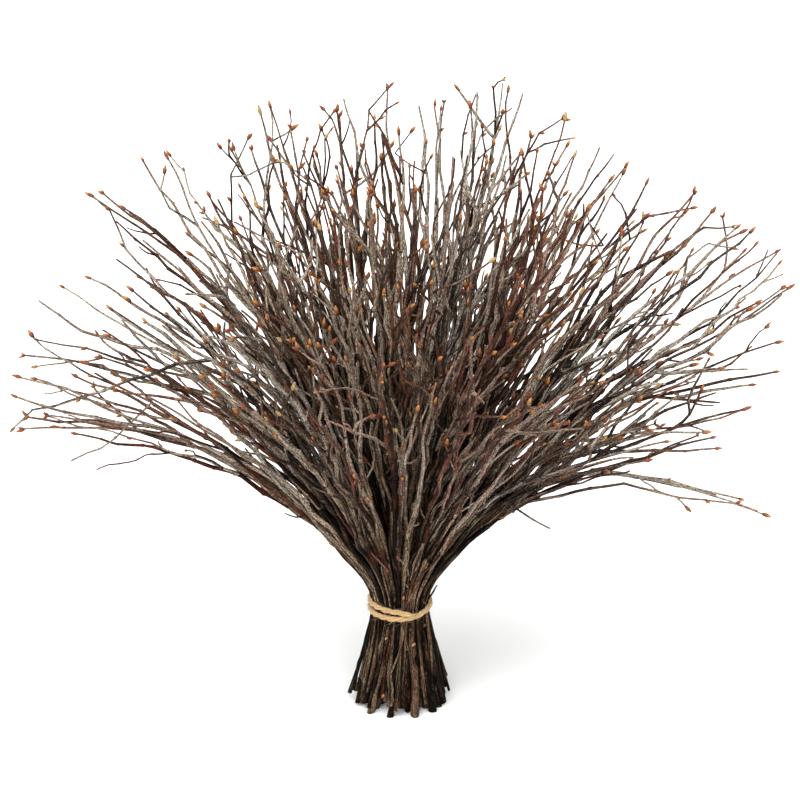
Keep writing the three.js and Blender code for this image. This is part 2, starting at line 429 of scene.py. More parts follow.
def node_lengths(rng, begin, end, spacing):
    """Lengths along a shoot from one node to the next, in uneven steps."""
    steps = max(2, round((end - begin) / spacing))
    walls = np.cumsum(rng.uniform(0.7, 1.3, steps))
    return begin + (end - begin) * np.concatenate(((0,), walls / walls[-1]))


def with_samples(nodes):
    """The nodes with samples between them, and the index of each node among them."""
    steps = np.diff(nodes)[:, None]
    lengths = np.append((nodes[:-1, None] + steps * NODE_SHARES).ravel(), nodes[-1])
    return lengths, np.arange(len(nodes)) * len(NODE_SHARES)


def drift(rng, lengths, size, wave):
    """A slow random drift in all three directions, in millimetres."""
    offset = np.zeros((len(lengths), 3))
    for octave in (1, 2):
        direction = rng.normal(size=3) / octave**1.5
        phase = rng.uniform(0, 2 * math.pi, 3)
        offset += direction * np.sin(2 * math.pi * octave * lengths[:, None] / wave + phase)
    return offset * size


def crook(rng, lengths, nodes, size):
    """The turns at the nodes: offsets to one side and then to the other."""
    side = unit(rng.normal(size=3))
    signs = np.where(np.arange(len(nodes)) % 2, 1.0, -1.0) * rng.uniform(0.5, 1.2, len(nodes))
    return np.interp(lengths, nodes, signs)[:, None] * side * size, side


def smooth_step(values, low, high):
    """Rises softly from 0 to 1 while the values go from low to high."""
    share = np.clip((values - low) / (high - low), 0, 1)
    return share * share * (3 - 2 * share)

# %% [markdown]
# ## Buds
# A bud is a pointed spindle of a few wrapped scales, about seven millimetres long. The end bud
# goes on along its shoot, and the others sit at the nodes and lean away from the stem.

# %% Grow a bud
BUD_SIDES = 6
BUD_SHARES = np.array((0.0, 0.14, 0.34, 0.52, 0.7, 0.88))
BUD_WIDTHS = np.array((0.55, 0.85, 1.0, 0.88, 0.6, 0.26))
BUD_BOW = 0.06  # how far a bud bends to one side, in its own length
SCALE_HEIGHT = 0.1  # of the edges of its scales, over its radius
SCALE_TURN, SCALE_WIND = 2.4, 9  # of these edges, in radians: from side to side, and over its length
END_BUD_LENGTHS = (5.5, 9.0)
END_BUD_RADII = (0.17, 0.22)  # over the bud's length
PAIR_LEAN = 0.35  # how far a pair of end buds leans apart
BARE_OUTSIDE, BARE_INSIDE = 0.42, 0.84  # of the tips there, those that end without a bud
PAIRED_BUDS = 0.3  # of the end buds, those with a second one beside them
SECOND_LENGTH, SECOND_RADIUS = 0.75, 0.15  # of that one, over the length of the first


def add_bud(pile, rng, foot, direction, length, radius):
    """Adds one bud that grows from foot."""
    direction = unit(direction)
    bow = rng.normal(size=3) * BUD_BOW * length
    share = BUD_SHARES[:, None]
    points = foot + direction * share * length + bow * share * share
    wind = np.arange(BUD_SIDES) * SCALE_TURN + rng.uniform(0, 6) + SCALE_WIND * share
    pile.add(points, BUD_WIDTHS * radius, BUD_SIDES, 1 + SCALE_HEIGHT * np.sin(wind), along=BUD_SHARES,
             tone=rng.uniform(), age=BUD_SHARES, skin=BUD)


def add_end_bud(pile, rng, points, bare):
    """Adds the bud that ends a shoot, and now and then a smaller one beside it."""
    if rng.uniform() < bare:
        return
    course = unit(points[-1] - points[-2])
    length = rng.uniform(*END_BUD_LENGTHS)
    lean = np.cross(course, rng.normal(size=3)) * PAIR_LEAN
    paired = rng.uniform() < PAIRED_BUDS
    radius = length * rng.uniform(*END_BUD_RADII)
    add_bud(pile, rng, points[-1] - course, course + lean * paired, length, radius)
    if paired:
        add_bud(pile, rng, points[-1] - course, course - lean, SECOND_LENGTH * length, SECOND_RADIUS * length)

# %% [markdown]
# ## One twig
# A main twig has its stem, the two shoots of its solid, and more shoots that follow the fan at a
# growing distance. Those carry shoots of their own, short spurs and buds. Every shoot starts at a
# node of what carries it, so nothing hangs in the air. First comes what they all share: how thick
# they are, and how uneven and how old their bark is.

# %% Thickness, relief and age of bark
FOOT_RADIUS = 3.7
TIE_RADIUS = 2.5
TIP_RADIUS = 0.78
# Ridges round the bark: how many, how high over the radius, and how far they turn in a millimetre.
FLUTES = ((2, 0.08, 0.02), (3, 0.06, -0.05))
WAVES, WAVE_HEIGHT = 0.37, 0.05  # along the bark, in radians to the millimetre
COARSENESS = 0.05  # of the bark, at random
KNOT_LENGTH = 2.6
KNOT_GRIP = 2.2  # how narrow a knot is, round the stem
FOOT_AGE = 0.2  # how much older than the rest the bark below the twine looks


def stem_radii(twig, lengths):
    """A stem keeps its thickness for long and thins out near its tip."""
    below = lerp(TIE_RADIUS, FOOT_RADIUS, np.clip(-lengths / TIE_HEIGHT, 0, 1))
    share = np.clip(lengths / twig.reach, 0, 1) ** 1.5
    return twig.thickness * np.where(lengths < 0, below, lerp(TIE_RADIUS, TIP_RADIUS, share))


def gnarled(rng, lengths, sides, knots):
    """Relief of old bark: a fluted section that turns slowly, and a few knots."""
    angles = np.arange(sides) * (2 * math.pi / sides)
    lengths = lengths[:, None]
    relief = np.ones((len(lengths), sides))
    for count, height, turning in FLUTES:
        relief += height * np.sin(count * angles + rng.uniform(0, 6) + turning * lengths)
    relief += WAVE_HEIGHT * np.sin(WAVES * lengths + rng.uniform(0, 6))
    relief += COARSENESS * rng.normal(size=relief.shape)
    for place, turn, size in knots:
        near = np.exp(-(((lengths - place) / KNOT_LENGTH) ** 2))
        facing = np.exp(KNOT_GRIP * (np.cos(angles - turn) - 1))
        relief += size * near * facing
    return relief


def stem_age(twig, lengths):
    """How young the bark of a stem is: 0 just above the twine, 1 at the tip, and less than 0 below."""
    return smooth_step(lengths, 0, twig.reach) - FOOT_AGE * smooth_step(-lengths, -8, 8)


def as_branch(twig, lengths, places, offsets, points, radii, at, side, tone):
    """What shoots, spurs and buds need to know of the rod that carries them."""
    return SimpleNamespace(lengths=lengths, places=places, offsets=offsets, points=points,
                           radii=radii, at=at, side=side, tone=tone, share=lengths / twig.reach)

# %% [markdown]
# ## Stems
# A stem is thick and knotty at its cut foot. The twine holds it still, and above and below the
# twine it comes free of its neighbours. Stumps of cut side branches stand off it. Before its tip it
# settles back to the line of its solid, so that both end in the same place.

# %% Grow a stem
STEM_SIDES = 10
FINE_SIDES = 5
FIRST_NODE = 24.0  # above the twine
LAST_NODE = 7.0  # below the tip
NODE_SPACING = 27.0
FOOT_NODES = range(-72, 0, 9)  # below the twine
FORK_ROOM = 9.0  # around a fork, without other nodes
LOOSE_STEM = (8, 110)  # lengths above the twine over which a stem comes free of its neighbours
LOOSE_FOOT = (8, 50)  # and below it
FOOT_HOLD = (-8, 25)  # heights over which a foot comes free of its place on the floor
SETTLING = 40.0  # before its tip, over which a stem comes back to its solid
# How far a line drifts at random, and how long the longest wave of its drift is.
STEM_DRIFT, FOOT_DRIFT = (2.0, 170.0), (2.0, 70.0)
STEM_CROOK, FOOT_CROOK = 1.0, 1.1  # how far it turns aside at its nodes
FOOT_BENDS = np.array((-96.0, -72.0, -50.0, -30.0, -10.0))  # lengths at which a foot turns
FOOT_SHIFT = 5  # how far these lengths may differ from twig to twig
SWELLING = (-0.24, 0.2)  # of a foot, over its radius
SWOLLEN = (10, 60)  # lengths below the twine over which it swells
CUT_EDGE = 0.94  # of the radius, at the cut
STEM_RING = 1.15  # at a node, over the radius
BARE_ENDS = (30, 15)  # above the twine and below the tip, where a stem shows no rings
KNOTS_LOW, KNOTS_HIGH = 9, 5  # on a stem, round the tie and above it
KNOT_SPAN = (-80, 20)  # lengths between which the low ones stand
KNOT_TOP = 0.8  # of the reach, below which the high ones stand
KNOT_HEIGHTS = (0.25, 0.75)  # over the stem's radius
STUBS = 2  # of the low knots, those that are stumps of side branches
STUB_LEAN = 0.75  # how far a stump leans along its stem, where 0 stands square to it
STUB_LENGTHS = (1.5, 5.0)  # out of the bark
STUB_RADII = (0.35, 0.5)  # over that of the stem
STUB_SHARES, STUB_WIDTHS = (1, 0.6, 0), np.array((0.9, 1, 1.3))  # from its end to its root
STUB_AGE = 0.1
STEM_AGE = 0.9  # of a stem's tip, where a shoot's has 1
BARE_STEMS = 0.1  # of the stems, those that end without a bud


def cut_direction(twig):
    """The direction that a foot was cut square to: upright, or leaning over from its place."""
    out = twig.place / max(np.hypot(*twig.place), 1e-6)
    return np.array((*(out * math.sin(twig.cut_lean)), math.cos(twig.cut_lean)))


def add_stub(pile, rng, points, radii, sample, tone):
    """Adds the stump of a cut side branch to a rod."""
    sample = int(np.clip(sample, 1, len(points) - 2))
    course = unit(points[sample + 1] - points[sample - 1])
    direction = STUB_LEAN * course + unit(np.cross(course, rng.normal(size=3)))
    length = radii[sample] + rng.uniform(*STUB_LENGTHS)
    ends = points[sample] + np.outer(STUB_SHARES, unit(direction) * length)
    radius = radii[sample] * rng.uniform(*STUB_RADII)
    pile.add(ends, radius * STUB_WIDTHS, FINE_SIDES, tone=tone, age=STUB_AGE, end_skin=WOOD)


def grow_stem(pile, rng, twig):
    """Adds a main stem, from its cut foot to its end bud, and returns it as a branch."""
    forks = [share * twig.reach for share, _ in SHOOTS]
    above = node_lengths(rng, FIRST_NODE, twig.reach - LAST_NODE, NODE_SPACING)
    keep = np.min(np.abs(above[:, None] - forks), axis=1) > FORK_ROOM
    keep[[0, -1]] = True
    below = (twig.foot_height - TIE_HEIGHT, *FOOT_NODES, 0)
    nodes = np.sort(np.concatenate((below, above[keep], forks)))
    lengths, at = with_samples(nodes)
    free = smooth_step(lengths, *LOOSE_STEM)[:, None]
    loose_foot = smooth_step(-lengths, *LOOSE_FOOT)[:, None]
    settle = 1 - smooth_step(lengths, twig.reach - SETTLING, twig.reach)[:, None]
    turns, side = crook(rng, lengths, nodes, STEM_CROOK)
    flat = np.array((1, 1, 0))
    offsets = (drift(rng, lengths, *STEM_DRIFT) + turns) * free * settle
    loose_foot = loose_foot * smooth_step(lengths + TIE_HEIGHT, *FOOT_HOLD)[:, None]
    bends = FOOT_BENDS + rng.uniform(-FOOT_SHIFT, FOOT_SHIFT)
    foot_turns = crook(rng, lengths, bends, FOOT_CROOK)[0]
    offsets += (drift(rng, lengths, *FOOT_DRIFT) + foot_turns) * flat * loose_foot
    places = twig.place + sway(twig, lengths)
    points = twig_points(twig, places, lengths) + offsets
    swelling = lerp(*SWELLING, chance(twig.number, 13)) * smooth_step(-lengths, *SWOLLEN)
    radii = stem_radii(twig, lengths) * (1 + swelling)
    radii[0] *= CUT_EDGE
    ringed = (lengths[at] > BARE_ENDS[0]) & (lengths[at] < twig.reach - BARE_ENDS[1])
    radii[at[ringed]] *= STEM_RING
    places_of_knots = [*rng.uniform(*KNOT_SPAN, KNOTS_LOW),
                       *rng.uniform(KNOT_SPAN[1], KNOT_TOP * twig.reach, KNOTS_HIGH)]
    knots = [(place, rng.uniform(0, 2 * math.pi), rng.uniform(*KNOT_HEIGHTS)) for place in places_of_knots]
    tone = chance(twig.number, 10)
    pile.add(points, radii, STEM_SIDES, gnarled(rng, lengths, STEM_SIDES, knots),
             along=lengths + BARK_SHIFT * tone, tone=tone, age=STEM_AGE * stem_age(twig, lengths),
             end_skin=WOOD, cut=cut_direction(twig))
    for place in places_of_knots[:STUBS]:
        add_stub(pile, rng, points, radii, int(np.argmin(np.abs(lengths - place))), tone)
    add_end_bud(pile, rng, points, BARE_STEMS)
    return as_branch(twig, lengths, places, offsets, points, radii, at, side, tone)

# %% [markdown]
# ## Shoots
# A shoot leaves its branch with a collar, bends away and then follows the fan on its own. The
# crowd in the photo isn't even, because real shoots leave holes where others take the light. So a
# free shoot that would cross such a clearing, or turn back, mostly isn't grown.

# %% Grow a shoot
SHOOT_SIDES = 6
SHOOT_SPACING = 19.0
SHOOT_DRIFT, SHOOT_CROOK, SHOOT_RING = (2.0, 130.0), 1.5, 1.3
LOOSE_SHOOT = 0.3  # of its length, over which a shoot comes free of its branch
RISE = (-3, 10)  # how far its tip turns up
FREE_FOLLOW = 0.25  # of its twig's pull, what a free shoot follows
FEWEST_RINGS = 5
OUTER_REACH = (0.6, 0.95)  # shares of the reach from the inside of the crowd to its outside
COLLAR, COLLAR_GRIP = 0.25, 30  # how much thicker a shoot starts, and how soon it thins out
OWN_TONE, OWN_AGE = 0.85, 0.25  # how far a shoot's tone and age are its own
OLD_WOOD = 0.1  # of a twig's reach, below which its shoots are oldest
ROOM = np.array(solid_box) / MILLIMETRE + np.array(((8.0,), (-8.0,)))  # for shoots, inside the box
# Gaps in the crowd as the camera sees them: across, up from the picture's middle, and radius.
CLEARINGS = np.array((
    (16, 182, 24), (24, 212, 24), (-205, 142, 24), (-174, 112, 24), (-186, 47, 30), (-225, -18, 36),
    (-158, -50, 34), (192, -50, 24), (237, -16, 18), (174, 170, 20), (237, 83, 22), (-87, 150, 20),
    (142, 205, 24), (168, 142, 14), (16, 158, 24), (252, 60, 20), (286, 84, 16),
))
CLEARED = 0.88  # of the free shoots that cross a clearing, those that didn't grow
LEAST_ALONG = 0.6  # how closely, as a cosine, a free shoot keeps to the way out from the twine


def in_clearing(points):
    """Whether some of the points lie in a clearing, as the camera sees them."""
    up = (points - np.array(VIEW_CENTRE) / MILLIMETRE) @ PICTURE_UP
    seen = np.column_stack((points[:, 0], up))
    away = np.linalg.norm(seen[:, None] - CLEARINGS[:, :2], axis=2)
    return np.any(away < CLEARINGS[:, 2])


def grow_shoot(pile, rng, twig, parent, start, end, aside, thickness,
               sides=SHOOT_SIDES, bow=None, follow=FREE_FOLLOW):
    """Adds a shoot from sample start of its parent to length end, and returns it as a branch."""
    begin = parent.lengths[start]
    nodes = node_lengths(rng, begin, end, SHOOT_SPACING)
    lengths, at = with_samples(nodes)
    share = (lengths - begin) / (end - begin)
    turns, side = crook(rng, lengths, nodes, SHOOT_CROOK)
    ramp = smooth_step(share, 0, LOOSE_SHOOT)[:, None]
    offsets = parent.offsets[start] * (1 - share[:, None]) ** 2
    offsets = offsets + ramp * (drift(rng, lengths, *SHOOT_DRIFT) + turns)
    offsets += ramp * np.array((0, 0, 1)) * (share[:, None] ** 2) * rng.uniform(*RISE)
    places = parent.places[start] + sway(twig, lengths) - sway(twig, lengths[:1])
    bowed = share * (2 - share) if bow is None else share**bow
    places = places + aside * bowed[:, None]
    points = twig_points(twig, places, lengths, begin, follow) + offsets
    points += parent.points[start] - points[0]
    within = np.all((points > ROOM[0]) & (points < ROOM[1]), axis=1)
    kept = len(points) if within.all() else int(np.argmin(within))
    if kept < FEWEST_RINGS:
        return None
    is_free = bow is not None
    way_out = unit(parent.points[start] - (0, 0, TIE_HEIGHT))
    turned_back = unit(points[kept - 1] - points[0]) @ way_out < LEAST_ALONG
    if is_free and (turned_back or in_clearing(points) and rng.uniform() < CLEARED):
        return None
    outside = smooth_step(end / twig.reach, *OUTER_REACH)
    lengths, share, places, offsets, points = (a[:kept] for a in (lengths, share, places, offsets, points))
    at = at[at < kept]
    thick = max(thickness * parent.radii[start], TIP_RADIUS)
    collar = 1 + COLLAR * np.exp(-share * COLLAR_GRIP)
    radii = lerp(thick, TIP_RADIUS, (share / share[-1]) ** 2) * collar
    radii[at[1:-1]] *= SHOOT_RING
    tone = lerp(parent.tone, rng.uniform(), OWN_TONE)
    age = smooth_step(lengths, OLD_WOOD * twig.reach, twig.reach) * (1 - OWN_AGE) + OWN_AGE * share
    relief = gnarled(rng, lengths, sides, ())
    pile.add(points, radii, sides, relief, along=lengths + BARK_SHIFT * rng.uniform(), tone=tone, age=age)
    add_end_bud(pile, rng, points, lerp(BARE_INSIDE, BARE_OUTSIDE, outside))
    return as_branch(twig, lengths, places, offsets, points, radii, at, side, tone)

# %% [markdown]
# ## Spurs and side buds
# Between the long shoots a twig has short spurs, each with a bud on top, and buds that sit right
# on the bark. They stand out more than they are large, because they break the outline.

# %% Grow spurs and side buds
SIDE_BUD_LENGTHS = (3.6, 6.5)
SIDE_BUD_RADII = (0.2, 0.27)  # over the bud's length
SIDE_BUD_LEANS = (0.35, 0.8)  # in radians, away from the branch
BUD_SEAT = 0.6  # how far from the middle of the branch they start, in its radii
SIDE_STRAY = 0.5  # how far their side differs from the side to which the branch turns
SPUR_LENGTHS = (6, 30)
SPUR_LEANS = (0.5, 1.0)
SPUR_END_LEAN = 0.1
SPUR_BEND, SPUR_STRAY = 0.35, 0.5  # towards the lean of its end, and at random
SPUR_ROOT, SPUR_END = 0.95, 0.55  # the most radius of its root, and that of its end
SPUR_SHARE, SPUR_LEAST = 0.6, 0.25  # of the branch's radius in that of its root, and what is added
SPUR_RINGS = 5
SPUR_OUTER_REACH = (0.5, 0.9)
FIRST_DRESSED = 0.3  # of a twig's reach, below which its shoots stay bare


def side_direction(rng, branch, sample, lean):
    """A direction that leans away from a branch at one of its samples."""
    course = unit(branch.points[min(sample + 1, len(branch.points) - 1)] - branch.points[max(sample - 1, 0)])
    out = branch.side * rng.choice((-1, 1)) + rng.normal(size=3) * SIDE_STRAY
    out = unit(out - course * (out @ course))
    return course * math.cos(lean) + out * math.sin(lean)


def add_side_bud(pile, rng, branch, sample):
    """Adds a bud that sits on the bark."""
    direction = side_direction(rng, branch, sample, rng.uniform(*SIDE_BUD_LEANS))
    foot = branch.points[sample] + direction * branch.radii[sample] * BUD_SEAT
    length = rng.uniform(*SIDE_BUD_LENGTHS)
    add_bud(pile, rng, foot, direction, length, length * rng.uniform(*SIDE_BUD_RADII))


def add_spur(pile, rng, branch, sample):
    """Adds a short crooked spur with a bud on top."""
    length = rng.uniform(*SPUR_LENGTHS)
    direction = side_direction(rng, branch, sample, rng.uniform(*SPUR_LEANS))
    course = side_direction(rng, branch, sample, SPUR_END_LEAN)
    share = np.linspace(0, 1, SPUR_RINGS)[:, None]
    bend = (course - direction) * SPUR_BEND * share**2
    points = branch.points[sample] + length * (direction * share + bend)
    points = points + rng.normal(size=points.shape) * SPUR_STRAY * share
    if np.any(points < ROOM[0]) or np.any(points > ROOM[1]):
        return
    root = min(SPUR_ROOT, SPUR_SHARE * branch.radii[sample] + SPUR_LEAST)
    radii = np.linspace(root, SPUR_END, SPUR_RINGS)
    pile.add(points, radii, FINE_SIDES, tone=branch.tone, age=0.5 + 0.5 * share[:, 0],
             along=share[:, 0] * length + BARK_SHIFT * rng.uniform())
    outside = smooth_step(branch.share[sample], *SPUR_OUTER_REACH)
    add_end_bud(pile, rng, points, lerp(BARE_INSIDE, BARE_OUTSIDE, outside))


def dress(pile, rng, branch, bud_share, spur_share, first=FIRST_DRESSED):
    """Adds spurs and side buds to the nodes of a branch."""
    for sample in branch.at[1:-1]:
        if branch.share[sample] < first:
            continue
        draw = rng.uniform()
        if draw < spur_share:
            add_spur(pile, rng, branch, sample)
        elif draw < spur_share + bud_share:
            add_side_bud(pile, rng, branch, sample)

# %% [markdown]
# ## The whole twig
# The shoots of the solid come first, then the free ones. A shoot that starts low reaches far
# and strays far, and one that starts high stays short, so that no shoot passes its twig's tip.

# %% Grow a twig
# Each row: how many, where they start, how much of the room they take, and how far they stray.
FREE_SHOOTS = (
    (3, (0.06, 0.42), (0.4, 0.85), (0.3, 0.95)),
    (2, (0.35, 0.75), (0.3, 0.8), (0.2, 0.8)),
    (1, (0.7, 0.92), (0.5, 1.0), (0.1, 0.4)),
)
FINE_SHOOTS = (1, (0.2, 0.9), (0.25, 0.75), (0.15, 0.6))
SHOOT_THICKNESS, FINE_THICKNESS = 0.92, 0.85  # at the fork, over the branch that carries it
SHORTEST_SHOOT = 28.0
TOP_ROOM = 0.97  # of a twig's reach, where its highest shoots end
SIDE_PLACE = 2.8  # pitches from the middle, beyond which a twig has fewer shoots
SPARSE_LEFT = -250.0  # twigs that reach further to the left have no free shoots
FREE_BOWS = (0.75, 1.5)  # how late a free shoot strays: below 1 it strays early
THICKNESS_SPREAD = (0.8, 1.1)
# Of the nodes, those with a side bud and those with a spur, and for a stem where they start.
STEM_DRESS, SHOOT_DRESS, FINE_DRESS = (0.05, 0.12, 0.16), (0.04, 0.1), (0.04, 0.06)
TWIG_SEED = 1000


def grow_free_shoots(pile, rng, twig, parent, count, begin, reach, spread, thickness, sides):
    """Adds shoots at random nodes of the parent, and returns them."""
    able = [s for s in parent.at[1:-1] if begin[0] <= parent.share[s] <= begin[1]]
    if not able:
        return []
    starts = rng.choice(able, size=min(count, len(able)), replace=False)
    grown = []
    for start in sorted(starts):
        turn = rng.uniform(0, 2 * math.pi)
        room = TOP_ROOM * twig.reach - parent.lengths[start]
        end = parent.lengths[start] + max(SHORTEST_SHOOT, room * rng.uniform(*reach))
        aside = np.array((math.cos(turn), math.sin(turn))) * rng.uniform(*spread)
        thick = thickness * rng.uniform(*THICKNESS_SPREAD)
        bow = rng.uniform(*FREE_BOWS)
        shoot = grow_shoot(pile, rng, twig, parent, start, end, aside, thick, sides, bow)
        if shoot:
            grown.append(shoot)
    return grown


def grow_twig(pile, twig):
    """Adds a main twig with all that grows on it."""
    rng = np.random.default_rng(TWIG_SEED + twig.number)
    stem = grow_stem(pile, rng, twig)
    dress(pile, rng, stem, *STEM_DRESS)
    long_shoots = []
    for index, (begin, end) in enumerate(SHOOTS):
        turn = twig.shoot_turn + index * math.pi
        aside = SHOOT_SPREAD * np.array((math.cos(turn), math.sin(turn)))
        start = int(np.argmin(np.abs(stem.lengths - begin * twig.reach)))
        long_shoots.append(grow_shoot(
            pile, rng, twig, stem, start, end * twig.reach, aside, SHOOT_THICKNESS, follow=1.0))
    on_side = np.hypot(*twig.place) > SIDE_PLACE
    for count, begin, reach, spread in FREE_SHOOTS if tip_of(twig)[0] > SPARSE_LEFT else ():
        count -= on_side and count > 1
        long_shoots += grow_free_shoots(
            pile, rng, twig, stem, count, begin, reach, spread, SHOOT_THICKNESS, SHOOT_SIDES)
    for shoot in long_shoots:
        dress(pile, rng, shoot, *SHOOT_DRESS)
        for fine in grow_free_shoots(pile, rng, twig, shoot, *FINE_SHOOTS, FINE_THICKNESS, FINE_SIDES):
            dress(pile, rng, fine, *FINE_DRESS)

# %% [markdown]
# ## Wiring materials
# A material is a formula drawn as nodes. Written out, each node takes four lines, so a short
# helper adds a node and links what it is given, and the formula then reads from left to right.

# %% A helper for nodes


def paint(code):
    """A colour as Blender counts it, from the six digits of a colour picker."""
    parts = [int(code[i:i + 2], 16) / 255 for i in (0, 2, 4)]
    return (*(((c + 0.055) / 1.055) ** 2.4 if c > 0.04045 else c / 12.92 for c in parts), 1.0)


class Wiring:
    """Adds nodes to one tree and links them."""

    def __init__(self, tree):
        self.tree = tree

    def node(self, kind, inputs, **settings):
        made = self.tree.nodes.new(kind)
        for name, value in settings.items():
            setattr(made, name, value)
        for key, value in inputs.items():
            if isinstance(value, bpy.types.NodeSocket):
                self.tree.links.new(value, made.inputs[key])
            else:
                made.inputs[key].default_value = value
        return made

    def math(self, operation, first, second=0.0):
        return self.node("ShaderNodeMath", {0: first, 1: second}, operation=operation).outputs[0]

    def plus(self, first, *others):
        """The sum of all values, added from left to right."""
        for other in others:
            first = self.math("ADD", first, other)
        return first

    def times(self, first, *others):
        """The product of all values, from left to right."""
        for other in others:
            first = self.math("MULTIPLY", first, other)
        return first

    def without(self, value, share):
        """What a share of a value leaves of 1."""
        return self.math("SUBTRACT", 1.0, self.times(value, share))

    def stretch(self, vector, by):
        return self.node("ShaderNodeVectorMath", {0: vector, 1: by}, operation="MULTIPLY").outputs[0]

    def mix(self, share, first, second, blend="MIX"):
        inputs = {"Factor": share, 6: first, 7: second}
        return self.node("ShaderNodeMix", inputs, data_type="RGBA", blend_type=blend).outputs[2]

    def noise(self, vector, detail=3.0, roughness=0.55):
        inputs = {"Vector": vector, "Scale": 1.0, "Detail": detail, "Roughness": roughness}
        return self.node("ShaderNodeTexNoise", inputs).outputs["Fac"]

    def between(self, value, low, high):
        inputs = {"Value": value, "From Min": low, "From Max": high}
        return self.node("ShaderNodeMapRange", inputs, interpolation_type="SMOOTHSTEP").outputs["Result"]

    def attribute(self, name, output):
        return self.node("ShaderNodeAttribute", {}, attribute_name=name).outputs[output]


def new_group(name, inputs, outputs):
    """An empty node group with named sockets, its wiring, and its inputs by name."""
    group = bpy.data.node_groups.new(name, "ShaderNodeTree")
    for direction, sockets in (("INPUT", inputs), ("OUTPUT", outputs)):
        for socket, kind in sockets.items():
            group.interface.new_socket(socket, in_out=direction, socket_type=kind)
    wiring = Wiring(group)
    return group, wiring, wiring.node("NodeGroupInput", {}).outputs


def new_material(name, **values):
    """A material whose Principled shader has these values in its own sockets, and its wiring."""
    material = bpy.data.materials.new(name)
    material.use_nodes = True
    shader = material.node_tree.nodes["Principled BSDF"]
    for socket, value in values.items():
        shader.inputs[socket.replace("_", " ")].default_value = value
    return material, Wiring(material.node_tree), shader


def cover(w, shader, colour, height, strength, depth):
    """Gives a shader its colour and a relief of this depth, in metres."""
    relief = w.node("ShaderNodeBump", {"Height": height, "Strength": strength, "Distance": depth})
    w.tree.links.new(colour, shader.inputs["Base Color"])
    w.tree.links.new(relief.outputs["Normal"], shader.inputs["Normal"])

# %% [markdown]
# ## Bark
# The bark of the photo is dark brown with grey, worn streaks that run along the twig, pale flecks,
# and a warmer, red-brown colour on the young ends. The streaks need a grain that follows each
# twig, so the noise reads the rod's own coordinates, squeezed along its length.

# %% The bark group
COLOUR, NUMBER = "NodeSocketColor", "NodeSocketFloat"
BARK_COLOURS = ("Dark", "Grey", "Pale", "Young", "Thin")
# How fine the patterns are, per millimetre: two ways across the twig, and along it.
STREAKS = (0.75, 0.75, 0.05)
PATCHES = (0.25, 0.25, 0.02)
MOTTLES = (1.7, 1.7, 0.5)
FLECKS = (0.85, 0.85, 0.4)
RUST = (0.2, 0.2, 0.03)


def make_bark_group():
    """Colours, roughness and relief of bark, for any twig."""
    group, w, given = new_group(
        "Twig bark",
        {**dict.fromkeys(BARK_COLOURS, COLOUR), "Wear": NUMBER, "Flecks": NUMBER},
        {"Colour": COLOUR, "Roughness": NUMBER, "Height": NUMBER},
    )
    grain = w.attribute("grain", "Vector")
    tone = w.attribute("tone", "Fac")
    age = w.attribute("age", "Fac")
    streaks = w.noise(w.stretch(grain, STREAKS), 5.0, 0.62)
    patches = w.noise(w.stretch(grain, PATCHES), 3.0)
    mottle = w.noise(w.stretch(grain, MOTTLES), 4.0, 0.6)
    foot, low = w.between(age, -0.02, -0.18), w.between(age, 0.25, 0.0)
    # Wear: streaks and patches, more of it on some twigs and low down, and less below the twine.
    differs = w.math("SUBTRACT", 0.45, w.times(low, 0.2))
    wear = w.plus(w.times(streaks, 0.7), w.times(patches, 0.35), w.times(tone, differs), given["Wear"])
    # Painted light: the extra wear just above the twine lightens the neck, which the fan above shades.
    wear = w.plus(wear, w.plus(w.times(foot, -0.045), w.times(low, 0.1)))
    worn = w.times(w.between(wear, 0.65, 0.8), w.between(age, 2.2, 0.6))
    pale = w.times(w.between(wear, 0.76, 0.9), w.between(mottle, 0.4, 0.56))
    spots = w.node("ShaderNodeTexVoronoi", {"Vector": w.stretch(grain, FLECKS), "Scale": 1.0})
    fleck = w.times(w.between(spots.outputs["Distance"], 0.2, 0.08), given["Flecks"])
    # Colours: dark bark, thinner towards the tip, grey where it is worn, and rusty stretches.
    dark = w.mix(w.times(w.between(age, 0.35, 1.1), 0.85), given["Dark"], given["Thin"])
    colour = w.mix(w.times(worn, w.without(foot, 0.15)), dark, given["Grey"])
    hue = w.math("FRACT", w.times(tone, 7.3))
    rust = w.plus(w.times(age, age, 0.1), w.times(hue, 0.2), w.noise(w.stretch(grain, RUST), 2.0))
    colour = w.mix(w.times(w.between(rust, 0.67, 0.79), 0.54), colour, given["Young"])
    pale = w.times(pale, w.between(age, 1.1, 0.2), w.without(foot, 0.7), 0.8)
    colour = w.mix(pale, colour, given["Pale"])
    colour = w.mix(fleck, colour, given["Pale"])
    # Shade: dark blotches everywhere, and darker, warmer bark where it is old, also painted shade.
    blotch = w.plus(w.times(w.between(mottle, 0.38, 0.6), 0.94), 0.14)
    # Painted shade: the darkening by age also darkens the crowded core, the neck and the foot.
    old_and_crowd_shade = w.plus(w.times(w.between(age, 0.05, 0.85), 0.46), 0.54)
    dim = w.times(blotch, old_and_crowd_shade)
    warmth = w.plus(w.between(age, 0.6, 0.0), w.times(w.between(age, 0.55, 0.95), 0.2))
    green = w.times(dim, w.without(warmth, 0.11))
    blue = w.times(dim, w.without(warmth, 0.29))
    shade = w.node("ShaderNodeCombineColor", {0: dim, 1: green, 2: blue}).outputs[0]
    colour = w.mix(1.0, colour, shade, "MULTIPLY")
    roughness = w.plus(w.times(worn, 0.25), 0.55)
    height = w.plus(w.times(streaks, 0.7), w.times(mottle, 0.3), w.times(fleck, 0.2))
    w.node("NodeGroupOutput", {"Colour": colour, "Roughness": roughness, "Height": height})
    return group


bark_group = make_bark_group()


